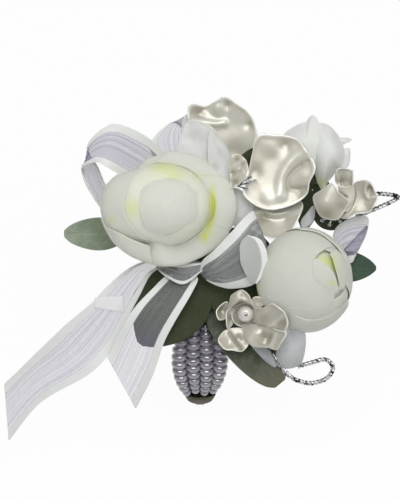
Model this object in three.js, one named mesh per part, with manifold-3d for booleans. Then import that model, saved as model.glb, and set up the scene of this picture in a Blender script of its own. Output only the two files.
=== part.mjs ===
// Wrist corsage: silk blooms, pearl-lacquered flowers, leaves, ribbon and wire on a beaded elastic band.
// The origin is the middle of the wrist opening, X runs along the wrist, +Z is up and the front is -Y.
import * as THREE from "three";
import { mergeVertices } from "three/addons/utils/BufferGeometryUtils.js";
import Module from "manifold-3d";

const wasm = await Module();
wasm.setup();

// Air left between pieces that press on one another
const CLEARANCE = 0.45;

// Beaded wristband
const BAND_RADIUS = 31.3;
const STRAND_COUNT = 4;
const BEAD_DIAMETER = 5.2;
const END_BEAD_DIAMETER = 2.6;
const BEAD_PITCH = 3.15;
const BEADS_PER_STRAND = 12;
const BEAD_WAIST_SHARE = 0.5;
const STRAND_SIDE_GAP = 0.55;
const STRAND_START_DEG = 26;
const END_GAP_DEG = 1.2;
const CORD_RADIUS = 0.45;
const CAP_LENGTH = 9;
const CAP_MOUTH_WIDTH = 12.6;
const CAP_MOUTH_DEPTH = 5;
const CAP_TAIL_WIDTH = 10.8;
const CAP_TAIL_DEPTH = 3;
const CAP_RIM = 0.35;
const ELASTIC_WIDTH = 9;
const ELASTIC_THICKNESS = 1.1;

// Base plate and felt pad
const PLATE_WIDTH = 23;
const PLATE_LENGTH = 25;
const PLATE_THICKNESS = 1.2;
const PLATE_CORNER = 6;
const PLATE_HOLE_RADIUS = 1.05;
const PAD_WIDTH = 21;
const PAD_LENGTH = 17;
const PAD_THICKNESS = 1;

// The spray of flowers leans forward over the plate
const SPRAY_TILT_DEG = 40;
const WRAP_RADIUS = 4.6;
const STEM_RADIUS = 1.3;
const SMALL_STEM_RADIUS = 0.9;

// Silk blooms
const PETAL_THICKNESS = 0.9;
const LARGE_BLOOM_RADII = [27.4, 22.6, 21];
const LARGE_HEART_RADII = [21.6, 18.2, 18.4];
const LARGE_CORE_RADII = [19.2, 15.8, 16];
const LARGE_RIM_RADII = [23.6, 19.6, 19.8];
const LARGE_CALYX_RADIUS = 11;
const FLARED_PETAL_LENGTH = 35;
const FLARED_PETAL_WIDTH = 26;
const SIDE_PETAL_LENGTH = 22;
const SIDE_PETAL_WIDTH = 20;
const MEDIUM_BLOOM_RADII = [20.2, 21, 19];
const MEDIUM_CORE_RADII = [17.4, 18.2, 16.6];
const MEDIUM_CALYX_RADIUS = 7.5;
const ROSEBUD_RADII = [13, 12.6, 15.4];
const ROSEBUD_CORE_RADII = [10.4, 10, 12.8];
const ROSEBUD_CALYX_RADIUS = 4.6;

// Pearl-lacquered flowers
const LACQUER_THICKNESS = 1;
const TOP_PETAL_LENGTH = 32;
const TOP_PETAL_WIDTH = 30;
const RIGHT_PETAL_LENGTH = 31;
const RIGHT_PETAL_WIDTH = 31;
const LOWER_PETAL_LENGTH = 29;
const LOWER_PETAL_WIDTH = 24;
const THROAT_LENGTH = 14;
const THROAT_WIDTH = 9;
const STAMEN_RADIUS = 0.45;
const CRYSTAL_RADIUS = 1.2;
const PEARL_RADIUS = 3.4;
const SATIN_PETAL_LENGTH = 24;
const SATIN_PETAL_WIDTH = 19;

// Leaves: blade length, blade width
const LEAF_THICKNESS = 0.8;
const LEFT_LEAF = [26, 15];
const CENTRE_LEAF = [36, 24];
const BOTTOM_LEAF = [36, 18];
const RIGHT_LEAF = [22, 13];
const SHADE_LEAF = [34, 22];
const INNER_LEAF = [24, 22];
const LEAF_STALK_WIDTH = 1.8;

// Ribbon and wire
const RIBBON_THICKNESS = 0.6;
const KNOT_RADIUS = 3.6;
const WIRE_RADIUS = 0.9;

const PLATE_BOTTOM = BAND_RADIUS - PLATE_THICKNESS / 2;
const PLATE_TOP = PLATE_BOTTOM + PLATE_THICKNESS;
const HOLE_REACH = PLATE_LENGTH / 2 - 2.1;

const silk = new THREE.MeshStandardMaterial({ color: 0xe6e8dc, roughness: 0.8 });
const pearl = new THREE.MeshStandardMaterial({ color: 0xdcd6c4, roughness: 0.3, metalness: 0.4 });
const leafGreen = new THREE.MeshStandardMaterial({ color: 0x6d7d64, roughness: 0.8 });
const tapeGreen = new THREE.MeshStandardMaterial({ color: 0x3c4d34, roughness: 0.8 });
const organza = new THREE.MeshStandardMaterial({ color: 0xcac8d8, roughness: 0.5 });
const silverWire = new THREE.MeshStandardMaterial({ color: 0xb8b8b8, roughness: 0.3, metalness: 1 });
const mirrorBead = new THREE.MeshStandardMaterial({ color: 0x76707c, roughness: 0.1, metalness: 1 });
const antiqueGold = new THREE.MeshStandardMaterial({ color: 0x8c7a4a, roughness: 0.3, metalness: 1 });
const elasticWhite = new THREE.MeshStandardMaterial({ color: 0xd8d8d4, roughness: 0.9 });

const rad = THREE.MathUtils.degToRad;
const mix = THREE.MathUtils.lerp;
const vec = (x, y, z) => new THREE.Vector3(x, y, z);
const sinDeg = (degrees) => Math.sin(rad(degrees));
const cosDeg = (degrees) => Math.cos(rad(degrees));

const corsage = new THREE.Group();
const band = new THREE.Group();
const spray = new THREE.Group();
spray.position.set(0, 0, PLATE_TOP);
spray.rotation.x = rad(SPRAY_TILT_DEG);
corsage.add(band, spray);

// Earlier pieces keep their form; later ones are trimmed to fit against them.
const pieces = [];
function add(group, name, geometry, material) {
  const mesh = new THREE.Mesh(geometry, material);
  mesh.name = name;
  group.add(mesh);
  pieces.push(mesh);
  return mesh;
}

function closed(positions, indices) {
  const geometry = new THREE.BufferGeometry();
  geometry.setAttribute("position", new THREE.Float32BufferAttribute(positions, 3));
  geometry.setIndex(indices);
  return geometry;
}

// A thin closed sheet about the middle surface point(u, v), with u from -1 to 1 and v from 0 to 1.
function sheet(point, thickness, across, along) {
  const step = 0.02;
  const normal = (u, v) => {
    const du = point(Math.min(u + step, 1), v).sub(point(Math.max(u - step, -1), v));
    const dv = point(u, Math.min(v + step, 1)).sub(point(u, Math.max(v - step, 0)));
    return du.cross(dv).normalize();
  };
  const positions = [];
  for (const side of [0.5, -0.5])
    for (let j = 0; j <= along; j++)
      for (let i = 0; i <= across; i++) {
        const u = (2 * i) / across - 1;
        const v = j / along;
        positions.push(...point(u, v).addScaledVector(normal(u, v), side * thickness));
      }
  const row = across + 1;
  const layer = row * (along + 1);
  const indices = [];
  for (let j = 0; j < along; j++)
    for (let i = 0; i < across; i++) {
      const a = j * row + i;
      const [b, c, d] = [a + 1, a + row + 1, a + row];
      indices.push(a, b, c, a, c, d);
      indices.push(a + layer, c + layer, b + layer, a + layer, d + layer, c + layer);
    }
  const rim = [];
  for (let i = 0; i < across; i++) rim.push(i);
  for (let j = 0; j < along; j++) rim.push(j * row + across);
  for (let i = across; i > 0; i--) rim.push(along * row + i);
  for (let j = along; j > 0; j--) rim.push(j * row);
  rim.forEach((a, k) => {
    const b = rim[(k + 1) % rim.length];
    indices.push(b, a, a + layer, b, a + layer, b + layer);
  });
  return closed(positions, indices);
}

// A closed limb through oval sections, each a centre, a half-width vector and a half-height vector.
function limb(sections, sides) {
  const positions = [];
  for (const { centre, side, up } of sections)
    for (let i = 0; i < sides; i++) {
      const angle = (2 * Math.PI * i) / sides;
      const rimPoint = centre.clone().addScaledVector(side, Math.cos(angle));
      positions.push(...rimPoint.addScaledVector(up, Math.sin(angle)));
    }
  const last = sections.length - 1;
  const ends = sections.length * sides;
  positions.push(...sections[0].centre, ...sections[last].centre);
  const indices = [];
  for (let k = 0; k < last; k++)
    for (let i = 0; i < sides; i++) {
      const a = k * sides + i;
      const b = k * sides + ((i + 1) % sides);
      indices.push(a, b, b + sides, a, b + sides, a + sides);
    }
  for (let i = 0; i < sides; i++) {
    const next = (i + 1) % sides;
    indices.push(ends, next, i);
    indices.push(ends + 1, last * sides + i, last * sides + next);
  }
  return closed(positions, indices);
}

// A round stem along a smooth path, its radius given at stops along the path.
function stem(points, stops, sides, steps) {
  const curve = new THREE.CatmullRomCurve3(points.map((p) => vec(...p)));
  const frames = curve.computeFrenetFrames(steps, false);
  const radiusAt = (t) => {
    const k = Math.max(1, stops.findIndex((stop) => stop[0] >= t));
    const [t0, r0] = stops[k - 1];
    const [t1, r1] = stops[k];
    return mix(r0, r1, (t - t0) / (t1 - t0));
  };
  const sections = [];
  for (let k = 0; k <= steps; k++) {
    const t = k / steps;
    sections.push({
      centre: curve.getPointAt(t),
      side: frames.normals[k].clone().multiplyScalar(radiusAt(t)),
      up: frames.binormals[k].clone().multiplyScalar(radiusAt(t)),
    });
  }
  return limb(sections, sides);
}

function ball(radii, around, down) {
  return new THREE.SphereGeometry(1, around, down).scale(...radii);
}

function solidOf(geometry, matrix, swell = 0) {
  const bare = new THREE.BufferGeometry();
  bare.setAttribute("position", geometry.getAttribute("position").clone());
  bare.setIndex(geometry.index ? geometry.index.clone() : null);
  bare.applyMatrix4(matrix);
  const merged = mergeVertices(bare, 1e-4);
  merged.computeVertexNormals();
  const points = merged.getAttribute("position").array;
  const normals = merged.getAttribute("normal").array;
  const vertProperties = points.map((value, i) => value + swell * normals[i]);
  const triVerts = new Uint32Array(merged.index.array);
  return new wasm.Manifold(new wasm.Mesh({ numProp: 3, vertProperties, triVerts }));
}

function geometryOf(solid, matrix) {
  const mesh = solid.getMesh();
  return closed(Array.from(mesh.vertProperties), Array.from(mesh.triVerts)).applyMatrix4(matrix);
}

function joined(geometries) {
  const still = new THREE.Matrix4();
  const solids = geometries.map((geometry) => solidOf(geometry, still));
  return geometryOf(solids.reduce((whole, next) => whole.add(next)), still);
}

// Trims each piece back from the earlier pieces that it presses on.
function fitTogether() {
  corsage.updateMatrixWorld(true);
  const seated = [];
  for (const mesh of pieces) {
    const box = new THREE.Box3().setFromObject(mesh);
    const swollen = solidOf(mesh.geometry, mesh.matrixWorld, CLEARANCE);
    const whole = solidOf(mesh.geometry, mesh.matrixWorld);
    const near = seated.filter((other) => other.box.intersectsBox(box));
    const touching = near.filter((other) => !whole.intersect(other.swollen).isEmpty());
    if (touching.length) {
      const trimmed = touching.reduce((solid, other) => solid.subtract(other.swollen), whole);
      const parts = trimmed.decompose().sort((a, b) => b.volume() - a.volume());
      mesh.geometry = geometryOf(parts[0], mesh.matrixWorld.clone().invert());
    }
    seated.push({ box: box.expandByScalar(CLEARANCE), swollen });
  }
}

// Base plate with a hole for each strand, and the felt pad under it
function roundedPlate(width, length, corner) {
  const [x, y] = [width / 2, length / 2];
  const shape = new THREE.Shape();
  shape.moveTo(-x + corner, -y);
  shape.lineTo(x - corner, -y);
  shape.absarc(x - corner, -y + corner, corner, -Math.PI / 2, 0);
  shape.absarc(x - corner, y - corner, corner, 0, Math.PI / 2);
  shape.absarc(-x + corner, y - corner, corner, Math.PI / 2, Math.PI);
  shape.absarc(-x + corner, -y + corner, corner, Math.PI, 1.5 * Math.PI);
  return shape;
}
const strandOffset = (index) => index - (STRAND_COUNT - 1) / 2;
const plateShape = roundedPlate(PLATE_WIDTH, PLATE_LENGTH, PLATE_CORNER);
for (const reach of [-HOLE_REACH, HOLE_REACH])
  for (let index = 0; index < STRAND_COUNT; index++) {
    const x = strandOffset(index) * (END_BEAD_DIAMETER + STRAND_SIDE_GAP);
    plateShape.holes.push(new THREE.Path().absarc(x, reach, PLATE_HOLE_RADIUS, 0, 2 * Math.PI, true));
  }
const flat = { bevelEnabled: false, curveSegments: 3 };
const plate = add(
  band,
  "base_plate",
  new THREE.ExtrudeGeometry(plateShape, { ...flat, depth: PLATE_THICKNESS }),
  antiqueGold,
);
plate.position.z = PLATE_BOTTOM;
const pad = add(
  band,
  "felt_pad",
  new THREE.ExtrudeGeometry(roundedPlate(PAD_WIDTH, PAD_LENGTH, PLATE_CORNER), {
    ...flat,
    depth: PAD_THICKNESS,
  }),
  tapeGreen,
);
pad.position.z = PLATE_BOTTOM - 0.3 - PAD_THICKNESS;

// A bead strand: a cord from its plate hole, then graded beads round the wrist to the end cap
const onBand = (degrees, radius = BAND_RADIUS) =>
  vec(0, -radius * sinDeg(degrees), radius * cosDeg(degrees));
const BEAD_STEP_DEG = THREE.MathUtils.radToDeg(BEAD_PITCH / BAND_RADIUS);
const STRAND_END_DEG = STRAND_START_DEG + BEADS_PER_STRAND * BEAD_STEP_DEG;
const beadDiameter = (share) =>
  mix(END_BEAD_DIAMETER, BEAD_DIAMETER, Math.sin(Math.PI * share) ** 0.8);

function strand(offset) {
  const sections = [];
  const put = (centre, ahead, radius, diameter) => {
    const out = vec(1, 0, 0).cross(ahead).normalize();
    centre.x = offset * (diameter + STRAND_SIDE_GAP);
    sections.push({
      centre,
      side: vec(radius, 0, 0),
      up: out.multiplyScalar(radius),
    });
  };
  const end = END_BEAD_DIAMETER;
  put(vec(0, -HOLE_REACH, PLATE_TOP), vec(0, 0, 1), CORD_RADIUS, end);
  put(vec(0, -HOLE_REACH, PLATE_BOTTOM - 0.5), vec(0, 0.2, 1), CORD_RADIUS, end);
  const ahead = (degrees) => vec(0, cosDeg(degrees), sinDeg(degrees));
  put(onBand(STRAND_START_DEG), ahead(STRAND_START_DEG), CORD_RADIUS, end);
  for (let bead = 0; bead < BEADS_PER_STRAND; bead++) {
    const middle = STRAND_START_DEG + (bead + 0.5) * BEAD_STEP_DEG;
    const after = middle + 0.5 * BEAD_STEP_DEG;
    const diameter = beadDiameter((bead + 0.5) / BEADS_PER_STRAND);
    const next = beadDiameter((bead + 1) / BEADS_PER_STRAND);
    put(onBand(middle), ahead(middle), diameter / 2, diameter);
    put(onBand(after), ahead(after), (BEAD_WAIST_SHARE * next) / 2, next);
  }
  return limb(sections, 8);
}

// An end cap: an oval cup that gathers the strands and closes on the elastic
const CAP_START_DEG = STRAND_END_DEG + END_GAP_DEG;
const CAP_END_DEG = CAP_START_DEG + THREE.MathUtils.radToDeg(CAP_LENGTH / BAND_RADIUS);
function endCap() {
  const profile = [
    [0, CAP_RIM],
    [0.1, CAP_RIM],
    [0.16, 0],
    [0.6, 0],
    [1, 0],
  ];
  const sections = profile.map(([share, rim]) => {
    const degrees = mix(CAP_START_DEG, CAP_END_DEG, share);
    const halfWidth = mix(CAP_MOUTH_WIDTH, CAP_TAIL_WIDTH, share) / 2 + rim;
    const halfDepth = mix(CAP_MOUTH_DEPTH, CAP_TAIL_DEPTH, share) / 2 + rim;
    return {
      centre: onBand(degrees),
      side: vec(halfWidth, 0, 0),
      up: onBand(degrees).normalize().multiplyScalar(halfDepth),
    };
  });
  return limb(sections, 16);
}

for (const [where, turned] of [["front", 0], ["back", Math.PI]]) {
  const panel = new THREE.Group();
  panel.rotation.z = turned;
  band.add(panel);
  for (let index = 0; index < STRAND_COUNT; index++)
    add(panel, `${where}_strand_${index + 1}`, strand(strandOffset(index)), mirrorBead);
  add(panel, `${where}_end_cap`, endCap(), antiqueGold);
}

const ELASTIC_START_DEG = CAP_END_DEG + END_GAP_DEG;
const elasticPoint = (u, v) => {
  const point = onBand(mix(ELASTIC_START_DEG, 360 - ELASTIC_START_DEG, v));
  point.x = (u * ELASTIC_WIDTH) / 2;
  return point;
};
add(band, "elastic_strap", sheet(elasticPoint, ELASTIC_THICKNESS, 1, 18), elasticWhite);

// Taped stems that carry the spray on the plate; in the spray X is right, Y is up it and Z is its face
const even = (radius) => [[0, radius], [1, radius]];
const wrapPath = [[0, -3, 4.5], [1, 6, 6], [4, 18, 7], [7, 31, 8]];
const wrapStops = [[0, 0.7 * WRAP_RADIUS], [0.15, WRAP_RADIUS], [0.8, WRAP_RADIUS], [1, 2.6]];
add(spray, "stem_wrap", stem(wrapPath, wrapStops, 10, 8), tapeGreen);

// A wrapping petal on an oval ball, drawn in to the rim radii at its tip; turn and span go round the bloom
function wrapPetal({ radii, rimRadii = radii, turn, span, base, tip, shoulder, spiral, flare = 0 }) {
  const point = (u, v) => {
    const polar = mix(base, tip + shoulder * u * u, v);
    const around = turn + (u * span) / 2;
    const grow = spiral * u + flare * v ** 4;
    const reach = radii.map((radius, i) => mix(radius, rimRadii[i], v ** 3) + grow);
    return vec(
      reach[0] * sinDeg(polar) * cosDeg(around),
      reach[1] * sinDeg(polar) * sinDeg(around),
      reach[2] * cosDeg(polar),
    );
  };
  return sheet(point, PETAL_THICKNESS, 8, 5);
}

function bloomGroup(position, tilt) {
  const group = new THREE.Group();
  group.position.set(...position);
  group.rotation.set(...tilt.map(rad));
  spray.add(group);
  return group;
}
const largeBloom = bloomGroup([-12.6, 31.5, 27], [-8, 0, 0]);
const mediumBloom = bloomGroup([42.4, 1.2, 22], [-12, 35, 0]);
const rosebud = bloomGroup([48.9, 54, 8], [-64, 0, 8]);

add(largeBloom, "large_bloom_core", ball(LARGE_CORE_RADII, 14, 8), silk);
add(mediumBloom, "medium_bloom_core", ball(MEDIUM_CORE_RADII, 12, 8), silk);
add(rosebud, "rosebud_core", ball(ROSEBUD_CORE_RADII, 12, 8), silk);

// A stem with its calyx cup moulded on, from the wrap to the back of a bloom
const calyxStops = (cup, seat) => [
  [0, STEM_RADIUS],
  [0.66, STEM_RADIUS],
  [0.74, 0.45 * cup],
  [0.9, cup],
  [1, seat],
];
const largeStemPath = [[3, 17, 6], [-5, 23, 4], [-11, 27.5, 1.5], [-12.6, 28.4, 5], [-12.6, 29.5, 13]];
const mediumStemPath = [[2, 8, 6], [14, 5, 3], [28, 1, 0.5], [33, 0.2, 3.5], [36, 0.5, 9]];
const rosebudStemPath = [[6, 27, 7], [22, 30, 3], [41, 34, 0.5], [49, 38, 1.6], [49.6, 44, 4]];
add(spray, "large_bloom_stem", stem(largeStemPath, calyxStops(LARGE_CALYX_RADIUS, 6), 9, 11), tapeGreen);
add(spray, "medium_bloom_stem", stem(mediumStemPath, calyxStops(MEDIUM_CALYX_RADIUS, 5), 9, 12), tapeGreen);
add(spray, "rosebud_stem", stem(rosebudStemPath, calyxStops(ROSEBUD_CALYX_RADIUS, 3), 8, 12), tapeGreen);

// Large bloom: two petals closed over the heart, then an outer cup of three
const heart = { radii: LARGE_HEART_RADII, base: 152, shoulder: 16, spiral: 1 };
const cup = { radii: LARGE_BLOOM_RADII, rimRadii: LARGE_RIM_RADII, base: 158, shoulder: 10, spiral: 1.2 };
[
  { ...heart, turn: 110, span: 205, tip: 26 },
  { ...heart, turn: 290, span: 205, tip: 12 },
].forEach((form, k) => add(largeBloom, `large_bloom_heart_petal_${k + 1}`, wrapPetal(form), silk));
[
  { ...cup, turn: 262, span: 150, tip: 63 },
  { ...cup, turn: 20, span: 150, tip: 58 },
  { ...cup, turn: 140, span: 150, tip: 66 },
].forEach((form, k) => add(largeBloom, `large_bloom_cup_petal_${k + 1}`, wrapPetal(form), silk));

const swirl = { radii: MEDIUM_BLOOM_RADII, base: 155, shoulder: 14, spiral: 1.25 };
[
  { ...swirl, turn: 178, span: 185, tip: 17 },
  { ...swirl, turn: 292, span: 150, tip: 42 },
  { ...swirl, turn: 50, span: 165, tip: 34 },
].forEach((form, k) => add(mediumBloom, `medium_bloom_petal_${k + 1}`, wrapPetal(form), silk));

const furled = { radii: ROSEBUD_RADII, base: 156, shoulder: 16, spiral: 1.2, flare: 1.2 };
[
  { ...furled, turn: 250, span: 160, tip: 20 },
  { ...furled, turn: 10, span: 160, tip: 28 },
  { ...furled, turn: 130, span: 160, tip: 16 },
].forEach((form, k) => add(rosebud, `rosebud_petal_${k + 1}`, wrapPetal(form), silk));

// An open petal that grows along Y from its neck and is dished toward Z, with a waved rim
function openPetal({ length, width, neck = 0.3, cup, wave = 0, waves = 3, thickness, across = 6, along = 5 }) {
  const point = (u, v) => {
    const bulge = mix(neck, 1, Math.sin(Math.min(1, 1.25 * v) * (Math.PI / 2)));
    const half = (width / 2) * bulge * (1 - 0.3 * Math.max(0, v - 0.6) / 0.4);
    const droop = 0.16 * length * u * u * v * v;
    const dish = cup * (u * u * v + (1.6 * v - 0.6) ** 2 * 0.8);
    const ripple = wave * Math.cos(waves * Math.PI * u) * v ** 3;
    return vec(half * u, length * v - droop, dish + ripple);
  };
  return sheet(point, thickness, across, along);
}
// Heading is the way the petal grows across the spray's face, lift raises its tip, roll turns it on its length
function placePetal(group, name, form, material, position, heading, lift, roll = 0) {
  const mesh = add(group, name, openPetal(form), material);
  mesh.position.set(...position);
  mesh.rotation.set(rad(lift), rad(roll), rad(heading - 90), "ZXY");
}
const flared = { cup: 3, wave: 0.8, thickness: PETAL_THICKNESS };
const flaredForm = { ...flared, length: FLARED_PETAL_LENGTH, width: FLARED_PETAL_WIDTH };
const sideForm = { ...flared, length: SIDE_PETAL_LENGTH, width: SIDE_PETAL_WIDTH };
placePetal(spray, "large_bloom_flared_petal_1", flaredForm, silk, [-7, 37, 7], 64, 14);
placePetal(spray, "large_bloom_flared_petal_2", sideForm, silk, [-4, 38, 13], 30, 16);

// Large pearl flower: three open petals, a curled throat and wired crystals on its own stem
const PEARL_STEM_PATH = [[7, 29, 8], [11, 37, 8], [16, 45, 11], [17, 46.6, 15]];
add(spray, "pearl_flower_stem", stem(PEARL_STEM_PATH, [[0, 1], [0.7, 1], [1, 2.6]], 8, 8), tapeGreen);
const lacquer = { cup: 4, wave: 1.2, thickness: LACQUER_THICKNESS };
const topForm = { ...lacquer, length: TOP_PETAL_LENGTH, width: TOP_PETAL_WIDTH };
const rightForm = { ...lacquer, length: RIGHT_PETAL_LENGTH, width: RIGHT_PETAL_WIDTH };
const lowerForm = { ...lacquer, length: LOWER_PETAL_LENGTH, width: LOWER_PETAL_WIDTH };
const throatForm = { ...lacquer, length: THROAT_LENGTH, width: THROAT_WIDTH, cup: 3, wave: 0 };
placePetal(spray, "pearl_flower_right_petal", rightForm, pearl, [18, 46.4, 18.5], 0, 8);
placePetal(spray, "pearl_flower_lower_petal", lowerForm, pearl, [19, 42.5, 13.5], -54, 2);
placePetal(spray, "pearl_flower_top_petal", topForm, pearl, [14, 46.6, 9.5], 106, 2);
placePetal(spray, "pearl_flower_throat", throatForm, pearl, [16.4, 41, 19], 92, 28);
const stamenEnds = [[23.2, 42.2, 25], [22, 38.4, 25], [18.6, 36.6, 24]];
const stamenHub = vec(17, 41.2, 17.5);
const stamenParts = stamenEnds.flatMap((end) => [
  stem([stamenHub.toArray(), [0.5 * (17 + end[0]), 0.5 * (41.2 + end[1]), 22], end], even(STAMEN_RADIUS), 5, 3),
  new THREE.IcosahedronGeometry(CRYSTAL_RADIUS, 0).translate(...end),
]);
stamenParts.push(new THREE.IcosahedronGeometry(CRYSTAL_RADIUS, 0).translate(...stamenHub));
add(spray, "pearl_flower_stamens", joined(stamenParts), silverWire);

// The two small pearl flowers: petals moulded in one with their cup, on wired stems
const smallPetal = { cup: 3, neck: 0.4, thickness: LACQUER_THICKNESS, across: 4, along: 3 };
function corolla(petals, cupRadius) {
  const made = petals.map(({ heading, lift, ...form }) => {
    const petal = openPetal({ ...smallPetal, ...form });
    const turn = new THREE.Euler(rad(lift), 0, rad(heading - 90), "ZXY");
    return petal.applyMatrix4(new THREE.Matrix4().makeRotationFromEuler(turn));
  });
  return joined([...made, ball([cupRadius, cupRadius, 0.7 * cupRadius], 8, 4)]);
}
const rightPetals = [
  { heading: 202, lift: 20, length: 15.5, width: 15 },
  { heading: 4, lift: 24, length: 14, width: 13 },
  { heading: 104, lift: 18, length: 12, width: 9 },
  { heading: 292, lift: 30, length: 10, width: 10 },
];
const lowerPetals = [
  { heading: 84, lift: 38, length: 12, width: 13 },
  { heading: 12, lift: 42, length: 23, width: 13 },
  { heading: -38, lift: 30, length: 23, width: 17 },
  { heading: 244, lift: 12, length: 18, width: 13 },
  { heading: 172, lift: 26, length: 12, width: 11 },
];
add(spray, "lower_pearl_bead", ball([PEARL_RADIUS, PEARL_RADIUS, PEARL_RADIUS], 12, 8), pearl).position.set(18.9, -12.6, 24);
add(spray, "lower_pearl_flower", corolla(lowerPetals, 3), pearl).position.set(18.9, -12.6, 18);
add(spray, "right_pearl_flower", corolla(rightPetals, 3), pearl).position.set(60, 36, 17);
const rightFlowerPath = [[7, 30, 8], [30, 29, 1], [52, 32, 1], [59, 35, 8], [60.5, 36, 15]];
const lowerFlowerPath = [[2, 4, 8], [10, -2, 12], [16, -9, 13], [18.9, -12.6, 16]];
add(spray, "right_pearl_stem", stem(rightFlowerPath, even(SMALL_STEM_RADIUS), 6, 12), tapeGreen);
add(spray, "lower_pearl_stem", stem(lowerFlowerPath, even(SMALL_STEM_RADIUS), 6, 7), tapeGreen);

// Leaves: a narrow stalk from the wrap, then a pointed oval blade folded on its midrib
function leaf([length, width], stalk, arch) {
  const whole = stalk + length;
  const point = (u, v) => {
    const y = v * whole;
    const share = Math.max(0, (y - stalk) / length);
    const blade = (width / 2) * Math.sin(Math.PI * Math.min(0.985, share) ** 0.85) ** 0.65;
    const half = Math.max(LEAF_STALK_WIDTH / 2, blade);
    const fold = 0.12 * Math.abs(u) * blade;
    return vec(half * u, y, arch * Math.sin(Math.PI * v) + fold);
  };
  return sheet(point, LEAF_THICKNESS, 4, 9);
}
function placeLeaf(name, size, stalk, arch, position, heading, lift, roll) {
  const mesh = add(spray, name, leaf(size, stalk, arch), leafGreen);
  mesh.position.set(...position);
  mesh.rotation.set(rad(lift), rad(roll), rad(heading - 90), "ZXY");
}
placeLeaf("left_leaf", LEFT_LEAF, 31, 1, [0, 21.6, 3], 181, 0, -10);
placeLeaf("centre_leaf", CENTRE_LEAF, 6, 1, [4, 9, 10.6], 238, 6, 0);
placeLeaf("bottom_leaf", BOTTOM_LEAF, 16, 1, [2, -3, 10.6], 309, 4, 0);
placeLeaf("right_leaf", RIGHT_LEAF, 49, 0.5, [3, 10, 4], 357, -1, 0);
placeLeaf("shade_leaf", SHADE_LEAF, 4, 0.5, [2, 7, 7.5], 213, -6, 0);
placeLeaf("inner_leaf", INNER_LEAF, 3, 0.5, [3, 9, 8.8], 15, 0, 0);

// Satin petal beside the lower pearl flower
const satinForm = { length: SATIN_PETAL_LENGTH, width: SATIN_PETAL_WIDTH, cup: 3, thickness: PETAL_THICKNESS };
placePetal(spray, "satin_petal", satinForm, silk, [37, -15, 30.5], -86, -38);

// Ribbon pieces run between two edge curves
function ribbon(oneEdge, otherEdge, along) {
  const one = new THREE.CatmullRomCurve3(oneEdge.map((p) => vec(...p)));
  const other = new THREE.CatmullRomCurve3(otherEdge.map((p) => vec(...p)));
  const point = (u, v) => one.getPoint(v).lerp(other.getPoint(v), (u + 1) / 2);
  return sheet(point, RIBBON_THICKNESS, 2, along);
}
const knotPath = [[-9, 6, 12.4], [-4, 6.6, 13.2], [1.5, 7.4, 13.6]];
const knotStops = [[0, 0.6 * KNOT_RADIUS], [0.3, KNOT_RADIUS], [0.7, KNOT_RADIUS], [1, 0.6 * KNOT_RADIUS]];
add(spray, "ribbon_knot", stem(knotPath, knotStops, 10, 6), organza);

const longTailUpper = [
  [-9.4, 8.2, 13], [-20, 9.4, 12], [-28.6, 6.7, 13], [-37, -1.7, 13], [-45.8, -10.5, 12],
  [-54.6, -18.9, 9.5], [-63, -27.3, 6], [-73.5, -34.9, 1], [-82.4, -41.8, -4],
];
const longTailLower = [
  [-9.4, 4.6, 11], [-17.6, 6, 8], [-24.8, 3.8, 7], [-28, -4, 9], [-30.7, -12.6, 11.5],
  [-35, -21.4, 12.5], [-46, -37.5, 10], [-70, -52.5, 2.5], [-81.1, -66.8, -4],
];
const shortTailLeft = [
  [-6.4, 2.6, 14.5], [-11, 0.6, 15.5], [-20.2, -6.4, 16.5], [-26, -13.4, 16], [-31.5, -20.2, 14.5],
  [-35.7, -26.9, 12], [-38.6, -31.9, 10],
];
const shortTailRight = [
  [-1.6, 2.6, 16], [-1.4, 1, 18.5], [-8, -5, 19], [-14.3, -13.8, 18.5], [-18.9, -26, 17],
  [-22.7, -39.5, 13], [-26.9, -52.9, 8],
];
add(spray, "long_tail", ribbon(longTailUpper, longTailLower, 16), organza);
add(spray, "short_tail", ribbon(shortTailLeft, shortTailRight, 14), organza);

const leftLoopUpper = [
  [0, 24, 3.5], [-10, 46, 5], [-17.6, 57.5, 9], [-27, 63.8, 13], [-36, 66.4, 15], [-43.3, 62.2, 13],
  [-46.6, 56, 9], [-42.4, 48.3, 4], [-38.6, 39.9, 3], [-30, 31, 2], [-10, 24, 2],
];
const leftLoopLower = [
  [-2, 21, 3], [-16, 38, 4], [-21, 42.4, 8], [-30, 49.1, 13], [-37, 51.7, 16.5], [-42.8, 50.4, 15.5],
  [-48.7, 48.7, 12], [-49.6, 46.6, 7], [-46.2, 38.2, 5], [-37, 28, 3], [-12, 21, 2],
];
const backLoopUpper = [
  [2, 28, 3], [-3, 48, 5], [-5, 62, 8], [-5, 70.5, 9], [-4, 69.5, 6], [-2, 58, 3], [4, 36, 2.5],
];
const backLoopLower = [
  [0, 26, 2.4], [-14, 46, 3.5], [-21, 57, 5], [-13.5, 66.5, 6], [-12, 66, 4], [-10, 54, 1.5], [1, 34, 1],
];
const centreLoopUpper = [
  [2.1, 3.4, 16], [6.3, 8.8, 20], [12.6, 17.6, 24], [20.2, 29, 27], [22.5, 29.5, 24.5], [16.5, 20, 19],
  [9, 10, 14.5], [3.5, 5, 12],
];
const centreLoopLower = [
  [2.9, 1.2, 16.5], [13.4, -2.4, 21.5], [22.7, 0, 26], [27.7, 8.8, 27.5], [27, 10.5, 23.5], [21.5, 2.5, 18.5],
  [12, -0.5, 14], [4.2, 2.4, 12],
];
const rightLoopLeft = [
  [4, 13, 6], [30, 11, 1], [52, 8, 3], [57.5, 13.9, 8], [56, 22, 12], [57, 26, 11], [59, 23, 7], [60, 14, 3],
];
const rightLoopRight = [
  [4, 10, 6], [31, 7.6, 1], [56, 4.6, 2], [65, 13, 7], [69.6, 23.4, 10], [69, 29, 9], [67, 25, 5], [64, 14, 2],
];
add(spray, "left_loop", ribbon(leftLoopUpper, leftLoopLower, 20), organza);
add(spray, "back_loop", ribbon(backLoopUpper, backLoopLower, 14), organza);
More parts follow.
